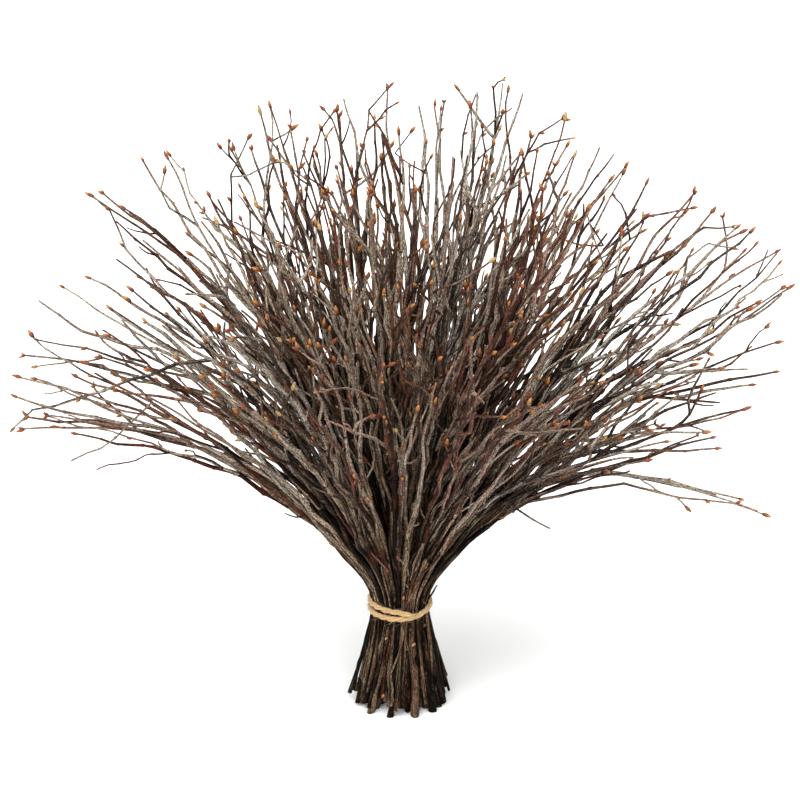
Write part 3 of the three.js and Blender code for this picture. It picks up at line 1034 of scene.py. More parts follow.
def make_bark(name, colours, wear, flecks):
    """One bark from the group, with its own colours."""
    material, w, shader = new_material(name, Specular_IOR_Level=0.04)
    bark = w.node("ShaderNodeGroup", {}, node_tree=bark_group)
    values = {**dict(zip(BARK_COLOURS, map(paint, colours))), "Wear": wear, "Flecks": flecks}
    for socket, value in values.items():
        bark.inputs[socket].default_value = value
    cover(w, shader, bark.outputs["Colour"], bark.outputs["Height"], 1.0, 0.0006)
    w.tree.links.new(bark.outputs["Roughness"], shader.inputs["Roughness"])
    return material


# Each bark: its colours in the order of BARK_COLOURS, how worn it is, and how many flecks show.
BARK_ROWS = (
    ("brown_bark", ("150d08", "827566", "d8c4af", "70472f", "4a3a30"), -0.03, 0.5),
    ("grey_bark", ("17110d", "8b8175", "e0d3c3", "6c4a37", "4b403a"), 0.0, 0.6),
    ("red_bark", ("190e09", "806d60", "cfbaa8", "773c2b", "51372c"), -0.06, 0.35),
)
BARKS = {row[0]: make_bark(*row) for row in BARK_ROWS}
print("barks", list(BARKS))

# %% [markdown]
# ## Bud scales and cut wood
# A bud is orange-brown, darker at its foot and lighter at its point, and the edges of its scales
# wind round it. The cut ends show brown wood with faint rings and a dark rim.

# %% Bud and wood materials


def make_bud():
    """Orange-brown scales that wind round the bud."""
    material, w, shader = new_material("bud", Roughness=0.5, Specular_IOR_Level=0.2)
    grain = w.attribute("grain", "Vector")
    share = w.attribute("age", "Fac")
    tone = w.attribute("tone", "Fac")
    axes = w.node("ShaderNodeSeparateXYZ", {0: grain}).outputs
    turn = w.times(w.math("ARCTAN2", axes[1], axes[0]), 1 / math.tau)
    wrap = w.math("FRACT", w.plus(w.times(share, 2.6), turn))
    edge = w.between(wrap, 0.0, 0.3)
    colour = w.mix(w.between(share, 0.05, 0.55), paint("3a1f10"), paint("7b431b"))
    colour = w.mix(w.between(share, 0.45, 0.9), colour, paint("a16f33"))
    colour = w.mix(w.between(tone, 0.9, 0.95), colour, paint("8d7249"))
    colour = w.mix(w.between(tone, 0.4, 0.15), colour, paint("69361c"))
    dull = w.mix(0.55, colour, paint("402412"), "MULTIPLY")
    colour = w.mix(edge, dull, colour)
    streaks = w.noise(w.stretch(grain, (3.0, 3.0, 2.0)), 3.0)
    colour = w.mix(w.between(streaks, 0.6, 0.8), colour, paint("a87339"))
    cover(w, shader, colour, edge, 0.6, 0.0003)
    return material


def make_wood():
    """Brown wood with faint rings, a dark pith and a dark rim."""
    material, w, shader = new_material("cut_wood", Roughness=0.85)
    grain = w.attribute("grain", "Vector")
    tone = w.attribute("tone", "Fac")
    flat = w.stretch(grain, (1.0, 1.0, 0.0))
    radius = w.node("ShaderNodeVectorMath", {0: flat}, operation="LENGTH").outputs["Value"]
    wave = w.math("SINE", w.times(radius, 9.0))
    rough = w.noise(w.stretch(grain, (3.0, 3.0, 1.0)), 4.0)
    colour = w.mix(w.between(wave, -0.6, 0.9), paint("8a5c38"), paint("a9774a"))
    colour = w.mix(w.between(rough, 0.4, 0.7), colour, paint("5f4030"))
    colour = w.mix(w.between(radius, 0.5, 0.25), colour, paint("4b2f1e"))
    colour = w.mix(w.between(radius, 2.3, 2.9), colour, paint("2e1d17"))
    colour = w.mix(w.between(tone, 0.2, 0.9), w.mix(0.7, colour, paint("4a372e"), "MULTIPLY"), colour)
    cover(w, shader, colour, rough, 0.7, 0.0004)
    return material


bud_material, wood_material = make_bud(), make_wood()

# %% [markdown]
# ## The main twigs
# Each twig is one mesh that stands for its solid and takes the solid's bark.

# %% Grow the main twigs
slot_of = {part["node"]: part["material_slot"] for part in frame["record"]["subparts"]}


def finish_twigs(pile, name, slot):
    """Makes one mesh of a pile, dresses it in a bark and lets it ride on the bundle."""
    piece = pile.mesh(name, (BARKS[slot], bud_material, wood_material))
    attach(piece, "root")
    return piece


main_piles = [Pile() for _ in main_twigs]
for pile, twig in zip(main_piles, main_twigs):
    grow_twig(pile, twig)
    node = f"twig_{twig.number:02d}"
    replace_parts(finish_twigs(pile, f"budding_{node}", slot_of[node]), node)
print("main twigs", len(main_twigs), "triangles", sum(pile.triangles() for pile in main_piles))

# %% [markdown]
# ## Thin twigs in the gaps
# Thin twigs fill the gaps of the net, as they do in a real bunch, where brushwood of every
# thickness is gathered. A gap is the middle of a triangle of stems. They are too many to be
# nodes, so they are joined into one piece for each bark.

# %% Places and facts of the thin twigs
THIN_THICKNESS = (0.3, 0.42)
THIN_CUTS = (3.0, 18.0)  # the heights of their cut ends above the floor
THIN_CUT_LEANS = (math.radians(-55), math.radians(20))
GAP_RADIUS = 1 / math.sqrt(3)  # of a triangle of the net, in pitches
THIN_REACH = (0.6, 0.95)  # over that of a main twig in its place
RIM_COUNT = 34  # places along the rim that are tried
RIM_PLACE = 4.18  # pitches from the middle, just inside the twine
RIM_THICKNESS = 0.44
RIM_CLEAR = 0.62  # pitches from the middle of a rim twig to that of a stem


def gap_places():
    """The middles of the net's triangles, in pitches."""
    found = []
    for place in places_of_solids:
        for third in (0, 1):
            turn = WAIST_TURN + math.radians(30 + 60 * third)
            gap = place + GAP_RADIUS * np.array((math.cos(turn), math.sin(turn)))
            if np.hypot(*gap) < WAIST_RINGS + 0.25:
                found.append(gap)
    return found


def rim_places():
    """Places between the outermost stems and the twine, where one fits."""
    found = []
    for turn in np.arange(RIM_COUNT) * (2 * math.pi / RIM_COUNT):
        place = RIM_PLACE * np.array((math.cos(turn), math.sin(turn)))
        if min(np.hypot(*(place - stem)) for stem in places_of_solids) > RIM_CLEAR:
            found.append(place)
    return found


def thin_facts(number, place):
    """The facts of one thin twig. One on the rim leans no further than the stems beside it."""
    inward = min(1.0, WAIST_RINGS / np.hypot(*place))
    facts = twig_facts(number, place * inward)
    facts.nudge = place * (1 - inward) * STEM_PITCH
    facts.on_rim = inward < 0.9
    facts.thickness = RIM_THICKNESS if facts.on_rim else lerp(*THIN_THICKNESS, chance(number, 2))
    facts.foot_height = lerp(*THIN_CUTS, chance(number, 4))
    facts.cut_lean = lerp(*THIN_CUT_LEANS, chance(number, 5))
    facts.reach *= lerp(*THIN_REACH, chance(number, 11))
    return facts


gaps, rim = gap_places(), rim_places()
print("twigs in the gaps", len(gaps), "and along the rim", len(rim))

# %% [markdown]
# ## Growing the thin twigs
# A thin twig grows as a stem does, with wider turns and without knots. Its foot is cut higher, and
# on the rim it may stray to the side, because nothing stands outside it.

# %% Grow the thin twigs
THIN_SPACING = 24.0  # from node to node
THIN_FOOT_NODE = -40
THIN_DRIFT, THIN_CROOK = (2.6, 140.0), 1.3
LOOSE_THIN = (10, 120)
THIN_DRESS, THIN_SHOOT_DRESS = (0.06, 0.1), (0.06, 0.08)
THIN_SEED = 5000
FIRST_THIN, FIRST_STRAY = 101, 301  # the numbers of the first of their kinds
THIN_SWELLING = 0.8  # how much thicker they are between the twine and half-way up
THIN_SWOLLEN = (8, 60)  # lengths above the twine over which they swell
THIN_WANING = (0.3, 0.9)  # shares of the reach over which the swelling ends
THIN_FOOT = (0.5, 1.0)  # how much thicker they are at the foot
THIN_SHOOTS = (2, (0.08, 0.85), (0.4, 0.95), (0.2, 1.0), 0.9, FINE_SIDES)
RIM_ASTRAY = 6.0  # how far the foot of a rim twig may stand beside its place
RIM_WIDENING = (-1.0, 1.5)  # how much further out its foot stands


def grow_thin_twig(pile, twig):
    """Adds a thin twig, with fewer shoots than a main one."""
    rng = np.random.default_rng(THIN_SEED + twig.number)
    above = node_lengths(rng, FIRST_NODE, twig.reach - LAST_NODE, THIN_SPACING)
    nodes = np.concatenate(((twig.foot_height - TIE_HEIGHT, THIN_FOOT_NODE, 0), above))
    lengths, at = with_samples(nodes)
    free = smooth_step(lengths, *LOOSE_THIN)[:, None]
    turns, side = crook(rng, lengths, nodes, THIN_CROOK)
    down = np.clip(-lengths, 0, None)[:, None] / TIE_HEIGHT
    astray = lerp(-RIM_ASTRAY, RIM_ASTRAY, chance(twig.number, 14)) * twig.on_rim
    wide = np.array((*twig.nudge, 0.0)) * (1 + lerp(*RIM_WIDENING, chance(twig.number, 15)) * down)
    wide = wide + astray * down * np.array((-twig.place[1], twig.place[0], 0.0)) / WAIST_RINGS
    offsets = (drift(rng, lengths, *THIN_DRIFT) + turns) * free + wide
    places = twig.place + sway(twig, lengths)
    points = twig_points(twig, places, lengths) + offsets
    waist = twig.thickness * TIE_RADIUS
    radii = lerp(waist, TIP_RADIUS, np.clip(lengths / twig.reach, 0, 1) ** 2)
    thinning = 1 - smooth_step(lengths, THIN_WANING[0] * twig.reach, THIN_WANING[1] * twig.reach)
    radii += THIN_SWELLING * smooth_step(lengths, *THIN_SWOLLEN) * thinning
    radii += lerp(*THIN_FOOT, chance(twig.number, 12)) * smooth_step(-lengths, *LOOSE_FOOT)
    tone = chance(twig.number, 10)
    relief = gnarled(rng, lengths, SHOOT_SIDES, ())
    pile.add(points, radii, SHOOT_SIDES, relief, along=lengths + BARK_SHIFT * tone, tone=tone,
             age=stem_age(twig, lengths), end_skin=WOOD, cut=cut_direction(twig))
    add_end_bud(pile, rng, points, BARE_INSIDE)
    stem = as_branch(twig, lengths, places, offsets, points, radii, at, side, tone)
    dress(pile, rng, stem, *THIN_DRESS)
    if tip_of(twig)[0] < SPARSE_LEFT:
        return
    for shoot in grow_free_shoots(pile, rng, twig, stem, *THIN_SHOOTS):
        dress(pile, rng, shoot, *THIN_SHOOT_DRESS)


def bark_of(number):
    """The bark of a thin twig."""
    return list(BARKS)[int(chance(number, 9) * len(BARKS))]


thin_piles = {slot: Pile() for slot in BARKS}
for number, place in enumerate(gaps + rim, FIRST_THIN):
    grow_thin_twig(thin_piles[bark_of(number)], thin_facts(number, place))
print("triangles so far", {slot: pile.triangles() for slot, pile in thin_piles.items()})

# %% [markdown]
# ## Stray twigs
# Chance gives the crowd, but the eye remembers single twigs: the ones that hang below the fan, hook
# over or stand out at its edge. Those are read from the photo one by one, as pixels with a guessed
# depth, and each one starts at the nearest branch that has grown already.

# %% Twigs read from the photo
# Each row: the radius at the start, the depths of start and end in millimetres behind the middle,
# the points that carry a bud, and the points as pixels of the photo, across and down.
LOW_LEFT = (
    (1.1, (-52, -36), (3, 6), ((240, 487), (205, 467), (170, 456), (132, 439), (91, 428), (65, 423),
                               (46, 416))),
    (0.7, (-50, -60), (), ((170, 456), (152, 457), (138, 459), (120, 464), (97, 469))),
    (0.8, (-40, -54), (2,), ((152, 403), (136, 418), (118, 436), (101, 448), (72, 460))),
    (0.9, (-66, -72), (), ((225, 449), (184, 436), (164, 431), (157, 433), (143, 430))),
    (0.9, (-60, -64), (2,), ((230, 468), (198, 454), (187, 450))),
    (1.7, (-30, -48), (3, 5, 8), ((211, 358), (175, 363), (153, 373), (127, 380), (104, 390), (81, 397),
                                  (54, 406), (32, 410), (14, 428))),
    (1.0, (-45, -30), (1, 4), ((113, 384), (92, 376), (66, 361), (46, 349), (33, 337))),
    (1.0, (-60, -40), (2, 5), ((178, 425), (141, 418), (108, 407), (84, 400), (58, 387), (36, 379))),
    (0.9, (-20, -20), (3,), ((107, 357), (88, 361), (66, 362), (36, 367))),
    (1.4, (-50, -40), (5,), ((185, 425), (157, 407), (143, 393), (129, 382), (103, 366), (88, 363))),
    (1.3, (-36, -26), (), ((190, 401), (171, 386), (154, 372), (139, 356), (122, 342), (103, 330))),
    (1.3, (-20, -16), (4,), ((143, 366), (129, 360), (115, 350), (103, 342), (97, 334))),
    (1.8, (-40, -30), (4,), ((215, 397), (185, 389), (160, 384), (138, 382), (118, 375))),
    (1.6, (-30, -20), (3,), ((220, 386), (190, 377), (165, 372), (140, 365), (126, 358))),
    (1.5, (-50, -46), (3,), ((200, 402), (172, 397), (145, 395), (117, 391))),
)
TOP_LEFT = (
    (1.4, (40, 60), (3, 4), ((270, 262), (262, 240), (266, 215), (269, 190), (273, 160))),
    (1.0, (50, 56), (2, 4), ((288, 262), (284, 235), (283, 205), (284, 195), (286, 186))),
    (1.1, (40, 50), (3,), ((257, 268), (251, 238), (250, 215), (246, 200))),
    (0.8, (60, 64), (3,), ((274, 162), (284, 162), (297, 171), (308, 182))),
    (0.9, (50, 54), (2,), ((316, 235), (312, 218), (322, 197))),
    (1.2, (0, 10), (2, 4), ((196, 348), (182, 338), (167, 326), (146, 311), (130, 301))),
    (1.1, (10, 16), (2,), ((205, 352), (186, 330), (168, 316), (150, 307))),
    (1.0, (20, 24), (3,), ((196, 318), (176, 303), (162, 293), (153, 281), (146, 269))),
    (1.1, (20, 26), (2, 3, 4), ((174, 290), (152, 272), (125, 245), (111, 210), (92, 197))),
    (1.5, (30, 40), (2,), ((190, 259), (155, 230), (126, 208))),
    (1.1, (30, 26), (3,), ((196, 232), (170, 209), (160, 192), (164, 172))),
    (1.1, (60, 68), (2, 4, 5), ((254, 250), (217, 229), (198, 203), (190, 194), (184, 171), (170, 156))),
    (1.2, (70, 84), (2, 5), ((268, 230), (267, 202), (269, 175), (273, 141), (273, 122), (270, 106))),
    (0.8, (78, 80), (2,), ((274, 141), (284, 135), (291, 129))),
    (1.0, (60, 66), (1, 4), ((235, 245), (231, 202), (232, 174), (237, 161), (249, 138))),
    (0.9, (56, 60), (3,), ((244, 179), (236, 165), (229, 155), (229, 142))),
    (0.8, (50, 52), (3,), ((229, 180), (249, 176), (262, 168), (278, 161))),
    (1.1, (50, 54), (2, 3, 4), ((297, 240), (296, 202), (300, 169), (303, 154), (306, 141))),
    (1.1, (60, 70), (3, 5), ((305, 240), (304, 202), (309, 167), (313, 151), (321, 130), (334, 112))),
    (1.0, (64, 60), (), ((324, 200), (319, 185), (310, 168), (303, 151))),
    (1.2, (50, 56), (2,), ((322, 195), (320, 167), (317, 156))),
    (0.9, (60, 60), (2, 3), ((324, 190), (326, 159), (325, 139), (331, 130))),
    (0.9, (70, 66), (3,), ((330, 186), (332, 156), (327, 140), (322, 130))),
    (1.6, (60, 72), (2, 4, 5), ((352, 215), (345, 190), (343, 165), (340, 141), (339, 123), (337, 111))),
    (0.9, (68, 74), (2, 3), ((341, 147), (336, 130), (331, 118), (325, 110))),
    (1.2, (40, 44), (3,), ((313, 256), (311, 238), (316, 220), (324, 200))),
    (1.4, (0, 10), (3,), ((240, 330), (205, 300), (180, 285), (160, 280))),
    (1.3, (-10, 0), (2,), ((235, 345), (200, 318), (172, 296), (150, 287))),
)
TOP_MIDDLE = (
    (1.8, (20, 30), (3,), ((345, 285), (340, 250), (333, 215), (328, 192))),
    (1.6, (20, 34), (3, 4), ((352, 280), (350, 245), (352, 215), (356, 190), (352, 171))),
    (1.5, (10, 30), (3,), ((362, 275), (357, 240), (345, 205), (338, 182))),
    (1.4, (24, 40), (4,), ((335, 280), (330, 250), (335, 225), (342, 200), (338, 179))),
    (1.4, (20, 30), (3,), ((370, 270), (372, 240), (366, 210), (372, 187))),
    (1.5, (30, 60), (2, 4), ((358, 262), (350, 229), (332, 196), (322, 186), (310, 178))),
    (1.6, (30, 60), (1, 3), ((419, 279), (413, 238), (406, 213), (394, 171), (384, 140))),
    (1.2, (60, 70), (1, 2, 4), ((349, 195), (362, 148), (367, 129), (369, 110), (389, 87))),
    (0.8, (64, 66), (1, 3), ((367, 131), (379, 119), (386, 110), (396, 104))),
    (1.5, (50, 66), (2, 3), ((402, 185), (394, 164), (386, 142), (379, 126), (369, 112))),
    (0.9, (50, 60), (2,), ((378, 197), (370, 177), (364, 165), (365, 150))),
    (1.0, (56, 60), (3,), ((384, 215), (384, 190), (382, 161), (384, 139))),
    (1.0, (70, 74), (2, 4), ((434, 205), (438, 156), (440, 131), (442, 115), (444, 102))),
    (0.9, (50, 54), (1,), ((463, 156), (464, 134), (468, 115), (476, 95))),
    (0.9, (80, 84), (2,), ((472, 174), (474, 148), (480, 135), (497, 118), (511, 108))),
    (0.9, (60, 60), (2, 4), ((499, 131), (497, 110), (494, 88), (498, 81), (503, 79))),
    (1.2, (70, 80), (1, 2, 4), ((506, 180), (507, 157), (506, 137), (505, 102), (508, 91))),
    (1.1, (60, 66), (2, 3), ((505, 188), (525, 156), (539, 133), (563, 119))),
    (0.9, (62, 60), (2,), ((539, 159), (548, 146), (571, 139))),
    (1.0, (50, 56), (1,), ((540, 221), (556, 184), (573, 156))),
)
TOP_RIGHT = (
    (1.3, (-5, 10), (3, 5), ((610, 350), (637, 320), (660, 293), (673, 275), (684, 265), (691, 252))),
    (1.1, (-15, 0), (4,), ((631, 350), (645, 326), (659, 306), (670, 290), (678, 273))),
    (0.9, (-20, -10), (), ((584, 350), (605, 331), (629, 320), (648, 314))),
    (1.3, (10, 24), (4,), ((553, 300), (576, 273), (599, 258), (613, 242), (632, 224))),
    (1.3, (10, 20), (2,), ((547, 289), (568, 245), (578, 223), (594, 201), (605, 192))),
    (1.1, (0, 10), (), ((563, 319), (580, 296), (592, 281), (604, 273), (622, 263))),
    (1.2, (-10, 4), (4,), ((597, 350), (608, 325), (620, 306), (633, 290), (641, 276))),
    (1.1, (40, 46), (1,), ((578, 207), (597, 177), (613, 155))),
    (1.1, (20, 24), (2,), ((584, 216), (604, 193), (625, 167))),
    (1.0, (50, 54), (2,), ((632, 240), (626, 213), (615, 196))),
    (1.2, (36, 40), (1, 2, 3), ((652, 259), (667, 239), (681, 217), (694, 192))),
    (1.1, (20, 20), (2, 4), ((610, 246), (635, 226), (650, 216), (667, 213), (692, 208))),
    (1.4, (10, 20), (2, 3), ((621, 277), (670, 252), (704, 228), (733, 227))),
    (2.0, (10, 30), (4, 5), ((578, 329), (600, 294), (613, 280), (620, 264), (639, 232), (643, 224))),
    (1.2, (20, 30), (), ((570, 283), (585, 268), (607, 255), (613, 251))),
    (1.0, (24, 30), (3,), ((607, 256), (628, 232), (639, 224), (643, 218))),
    (0.9, (10, 20), (), ((623, 275), (646, 265), (669, 251))),
    (1.4, (0, 10), (2,), ((616, 300), (639, 275), (654, 253), (669, 232))),
    (1.5, (-10, 0), (3,), ((600, 321), (623, 306), (643, 283), (665, 257))),
    (1.2, (-10, 0), (), ((635, 329), (646, 313), (662, 298), (670, 285))),
    (0.8, (30, 20), (1,), ((585, 215), (593, 237), (602, 262), (605, 270))),
    (0.8, (34, 34), (4,), ((596, 225), (605, 246), (595, 246), (583, 245), (570, 242))),
    (0.9, (20, 24), (3,), ((689, 260), (698, 252), (710, 244), (731, 248))),
    (1.0, (0, 10), (3, 4), ((680, 319), (696, 300), (713, 282), (737, 262), (755, 245))),
    (1.3, (0, 14), (5,), ((680, 331), (694, 325), (710, 319), (726, 303), (740, 290), (756, 277),
                          (777, 254))),
    (0.8, (14, 14), (), ((756, 277), (762, 264), (768, 250))),
    (0.9, (0, 10), (3,), ((680, 320), (708, 304), (733, 289), (739, 287))),
    (1.2, (0, 6), (3, 7), ((694, 348), (714, 323), (729, 312), (735, 307), (740, 299), (754, 291), (759, 286),
                           (779, 264))),
    (1.0, (0, 0), (2, 5), ((706, 349), (721, 330), (735, 317), (756, 306), (782, 289))),
    (0.8, (6, 6), (), ((759, 286), (768, 280), (783, 274))),
)
LOW_RIGHT = (
    (1.4, (-30, -66), (5, 7, 8, 9), ((510, 508), (535, 502), (560, 497), (591, 489), (624, 484), (652, 491),
                                     (679, 498), (705, 500), (736, 504), (763, 514))),
    (1.7, (-30, -40), (4,), ((512, 505), (527, 499), (553, 490), (580, 480), (604, 473))),
    (0.8, (-60, -62), (2,), ((672, 497), (681, 502), (686, 507))),
    (1.6, (-10, -16), (4,), ((560, 440), (588, 424), (612, 411), (632, 402), (655, 388))),
    (1.4, (0, 4), (3,), ((570, 420), (600, 408), (626, 396), (650, 377))),
    (1.1, (-20, -20), (1, 3), ((653, 430), (689, 426), (721, 417), (744, 410))),
    (0.8, (-24, -26), (2,), ((689, 426), (697, 429), (704, 432))),
    (1.0, (-40, -40), (1, 2), ((597, 473), (646, 456), (697, 435))),
    (0.9, (-50, -54), (1,), ((569, 490), (598, 479), (630, 470))),
    (0.9, (-50, -56), (), ((505, 503), (520, 512), (533, 520), (550, 528))),
)
NECK = (
    (0.8, (-49, -40), (3,), ((360, 530), (371, 552), (382, 565), (386, 569))),
    (0.8, (-30, -24), (), ((380, 565), (384, 582), (389, 597), (390, 606))),
    (0.9, (-53, -38), (), ((395, 548), (398, 557), (404, 563), (407, 570), (407, 576))),
    (0.9, (-37, -30), (), ((400, 572), (403, 580), (408, 587))),
    (1.3, (-43, -25), (), ((446, 536), (437, 554), (424, 571), (417, 585), (408, 600), (404, 609))),
    (1.0, (-58, -34), (2,), ((424, 541), (418, 554), (413, 566), (411, 580))),
    (1.0, (-8, -14), (), ((427, 600), (437, 586))),
)
CREST = (
    (0.6, (60, 64), (4,), ((426, 173), (410, 163), (395, 154), (403, 142), (411, 131))),
    (1.1, (50, 56), (4,), ((421, 215), (419, 198), (418, 188), (424, 172), (431, 158))),
    (1.0, (50, 56), (4,), ((411, 216), (412, 199), (411, 189), (410, 178), (409, 168))),
    (1.3, (40, 48), (2, 4), ((470, 226), (474, 200), (480, 172), (486, 150), (481, 128))),
    (1.2, (44, 50), (3, 5), ((452, 232), (455, 205), (464, 180), (478, 160), (492, 146), (499, 130))),
    (1.3, (40, 46), (3,), ((518, 215), (530, 190), (534, 168), (537, 152))),
)
STRAY_DEPTH = 0.12  # how many pixels a millimetre of depth counts in the search for a branch
STRAY_DRIFT = (0.5, 40.0)
STRAY_TIP, STRAY_RING = 0.85, 1.2  # of the radius, at the tip and at a node
STRAY_TONES = 0.8  # the highest

# %% [markdown]
# ## From pixels to places
# A pixel gives only a line of sight, and the guessed depth says how far along it the twig lies. A
# stray twig starts from the branch that shows at its first pixel, and is bent onto that branch.

# %% Grow the stray twigs
PICTURE_PIXELS = 800
PIXEL = PICTURE_WIDTH / PICTURE_PIXELS  # metres at the bundle
EYE = (np.array(VIEW_CENTRE) - VIEW_DISTANCE * SIGHT) / MILLIMETRE


def from_photo(pixels, depths):
    """The places that the camera sees at pixels of the photo, in millimetres, for given depths."""
    across, down = (np.array(pixels, float) - PICTURE_PIXELS / 2).T * PIXEL
    rays = VIEW_DISTANCE * SIGHT + across[:, None] * (1, 0, 0) - down[:, None] * PICTURE_UP
    steps = (np.linspace(*depths, len(pixels)) - EYE[1]) / rays[:, 1]
    return EYE + rays * steps[:, None]


def to_photo(places):
    """The pixels at which the camera sees places."""
    rays = places - EYE
    rays = rays * (VIEW_DISTANCE / PIXEL / (rays @ SIGHT))[:, None]
    return PICTURE_PIXELS / 2 + np.column_stack((rays[:, 0], -rays @ PICTURE_UP))


def carrier_at(carriers, pixel, depth):
    """The place of a branch that shows at a pixel, at about the given depth."""
    away = np.linalg.norm(carriers.seen - pixel, axis=1)
    return carriers.places[np.argmin(away + STRAY_DEPTH * np.abs(carriers.places[:, 1] - depth))]


def crooked_line(places):
    """A line through places, with samples between them, its lengths, and the samples of the places."""
    nodes = walked_along(places)
    lengths, at = with_samples(nodes)
    return np.column_stack([np.interp(lengths, nodes, axis) for axis in places.T]), lengths, at


def grow_stray(pile, rng, carriers, radius, depths, budded, pixels):
    """Adds one twig of the photo, from the branch that shows at its first pixel."""
    begin = carrier_at(carriers, pixels[0], depths[0])
    points, lengths, at = crooked_line(from_photo(pixels, (begin[1], depths[1])))
    share = lengths / lengths[-1]
    moved = np.linalg.norm(begin - points[0])
    points += (begin - points[0]) * (1 - share[:, None]) ** 2
    points += drift(rng, lengths, *STRAY_DRIFT) * np.minimum(1, 4 * share[:, None])
    radii = lerp(radius, STRAY_TIP * min(radius, TIP_RADIUS), share)
    radii[at[1:-1]] *= STRAY_RING
    tone = STRAY_TONES * rng.uniform()
    pile.add(points, radii, SHOOT_SIDES, gnarled(rng, lengths, SHOOT_SIDES, ()), tone=tone,
             along=lengths + BARK_SHIFT * tone, age=0.5 + 0.5 * share)
    stray = as_branch(SimpleNamespace(reach=lengths[-1]), lengths, None, None, points, radii, at,
                      rng.normal(size=3), tone)
    for index in budded:
        if index < len(pixels) - 1:
            add_side_bud(pile, rng, stray, at[index])
        else:
            add_end_bud(pile, rng, points, 0.0)
    carriers.places = np.concatenate((carriers.places, points))
    carriers.seen = np.concatenate((carriers.seen, to_photo(points)))
    return moved


branch_lines = [line for pile in main_piles + list(thin_piles.values()) for line in pile.lines]
carriers = SimpleNamespace(places=np.concatenate(branch_lines))
carriers.seen = to_photo(carriers.places)
strays = LOW_LEFT + TOP_LEFT + TOP_MIDDLE + TOP_RIGHT + LOW_RIGHT + NECK + CREST
moved = [
    grow_stray(thin_piles[bark_of(number)], np.random.default_rng(number), carriers, *row)
    for number, row in enumerate(strays, FIRST_STRAY)
]
middle_move = round(float(np.median(moved)), 1)
print("stray twigs", len(moved), "moved to a branch by", middle_move, "mm, in the middle")

# %% [markdown]
# ## Odd sticks in the foot
# Below the twine a few cut sticks go their own way: two spread out on the right, one ends high,
# two splay on the left, and a forked one crosses in front. They are held by the twine like the rest.

# %% Lay the odd sticks
# Each row: the radii at the cut end and at the top, the depths there, the tone, and the pixels.
FOOT_STICKS = (
    (1.4, 1.6, (-27, -19), 0.75, ((408, 650), (406, 642), (404, 630), (403, 612))),
    (0.7, 1.0, (-33, -23), 0.95, ((391, 673), (394, 666), (399, 654), (403, 638), (404, 630))),
    (2.4, 1.2, (-39, -19), 0.9, ((390, 706), (391, 690), (389, 675), (391, 655), (393, 634), (394, 614))),
    (1.9, 1.3, (-22, -8), 0.8, ((431, 683), (431, 661), (430, 641), (426, 610))),
    (1.2, 1.0, (4, 0), 0.1, ((449, 690), (441, 661), (433, 638), (426, 608))),
    (3.1, 2.0, (-12, 0), 0.15, ((443, 701), (438, 673), (434, 647), (427, 612))),
    (1.7, 1.3, (-8, 0), 0.2, ((353, 690), (357, 672), (362, 655), (367, 634), (374, 608))),
    (2.4, 1.6, (-14, -4), 0.3, ((358, 702), (362, 680), (366, 652), (374, 612))),
)
STICK_LEAN = 0.4  # the most that the cut of a stick leans over, as a slope
STICK_LIFT = 0.8  # of its end's radius, the least height of its end
STICK_KNOT = (4.0, 0.5)  # on which side it is, and its height over the radius
STICK_SEED = 909
CHIPS = ((382, 701), (391, 703), (400, 603))  # pixels where a chip of bark stands off a twig
CHIP_LENGTH, CHIP_RADIUS = 3.8, 1.4
CHIP_LIE = np.array((0.3, -0.2, 1.0))
CHIP_SEAT = 0.9  # how far from the middle of its twig it sits, over FOOT_RADIUS
CHIP_SEARCH = 5.0  # pixels around a chip in which the twig that carries it is looked for
CHIP_DEPTH = 0.6  # how many pixels a millimetre of depth counts in this search


def lay_stick(pile, rng, end_radius, top_radius, depths, tone, pixels):
    """Adds one cut stick of the photo, from its foot up into the tie."""
    points, lengths, _ = crooked_line(from_photo(pixels, depths))
    share = lengths / lengths[-1]
    points[:, 2] += max(0.0, STICK_LIFT * end_radius - points[0, 2]) * (1 - share)
    cut = unit(np.array((*rng.uniform(-STICK_LEAN, STICK_LEAN, 2), 1.0)))
    relief = gnarled(rng, lengths, STEM_SIDES, [(lengths[-1] / 3, *STICK_KNOT)])
    pile.add(points, lerp(end_radius, top_radius, share), STEM_SIDES, relief, tone=tone,
             along=lengths + BARK_SHIFT * tone, age=-FOOT_AGE, end_skin=WOOD, cut=cut)


def add_chip(pile, rng, pixel):
    """Adds one chip, on the side that the camera sees of the twig in front at a pixel."""
    away = np.linalg.norm(carriers.seen - pixel, axis=1)
    near = away < CHIP_SEARCH
    nearest = np.argmin(away[near] + CHIP_DEPTH * carriers.places[near] @ SIGHT)
    place = carriers.places[near][nearest] - FOOT_RADIUS * CHIP_SEAT * SIGHT
    add_bud(pile, rng, place, CHIP_LIE, CHIP_LENGTH, CHIP_RADIUS)


foot_pile, foot_rng = thin_piles["brown_bark"], np.random.default_rng(STICK_SEED)
for row in FOOT_STICKS:
    lay_stick(foot_pile, foot_rng, *row)
for pixel in CHIPS:
    add_chip(foot_pile, foot_rng, pixel)
print("odd sticks", len(FOOT_STICKS), "chips", len(CHIPS))
for slot, pile in thin_piles.items():
    finish_twigs(pile, f"thin_twigs_{slot.split('_')[0]}", slot)
    print("thin twigs", slot, "triangles", pile.triangles())

# %% [markdown]
# ## The twine
# Jute twine is three strands twisted together, each of many short fibres, and loose ends stand
# out all over it. The strands are rods on helices round the line of the solid twine.

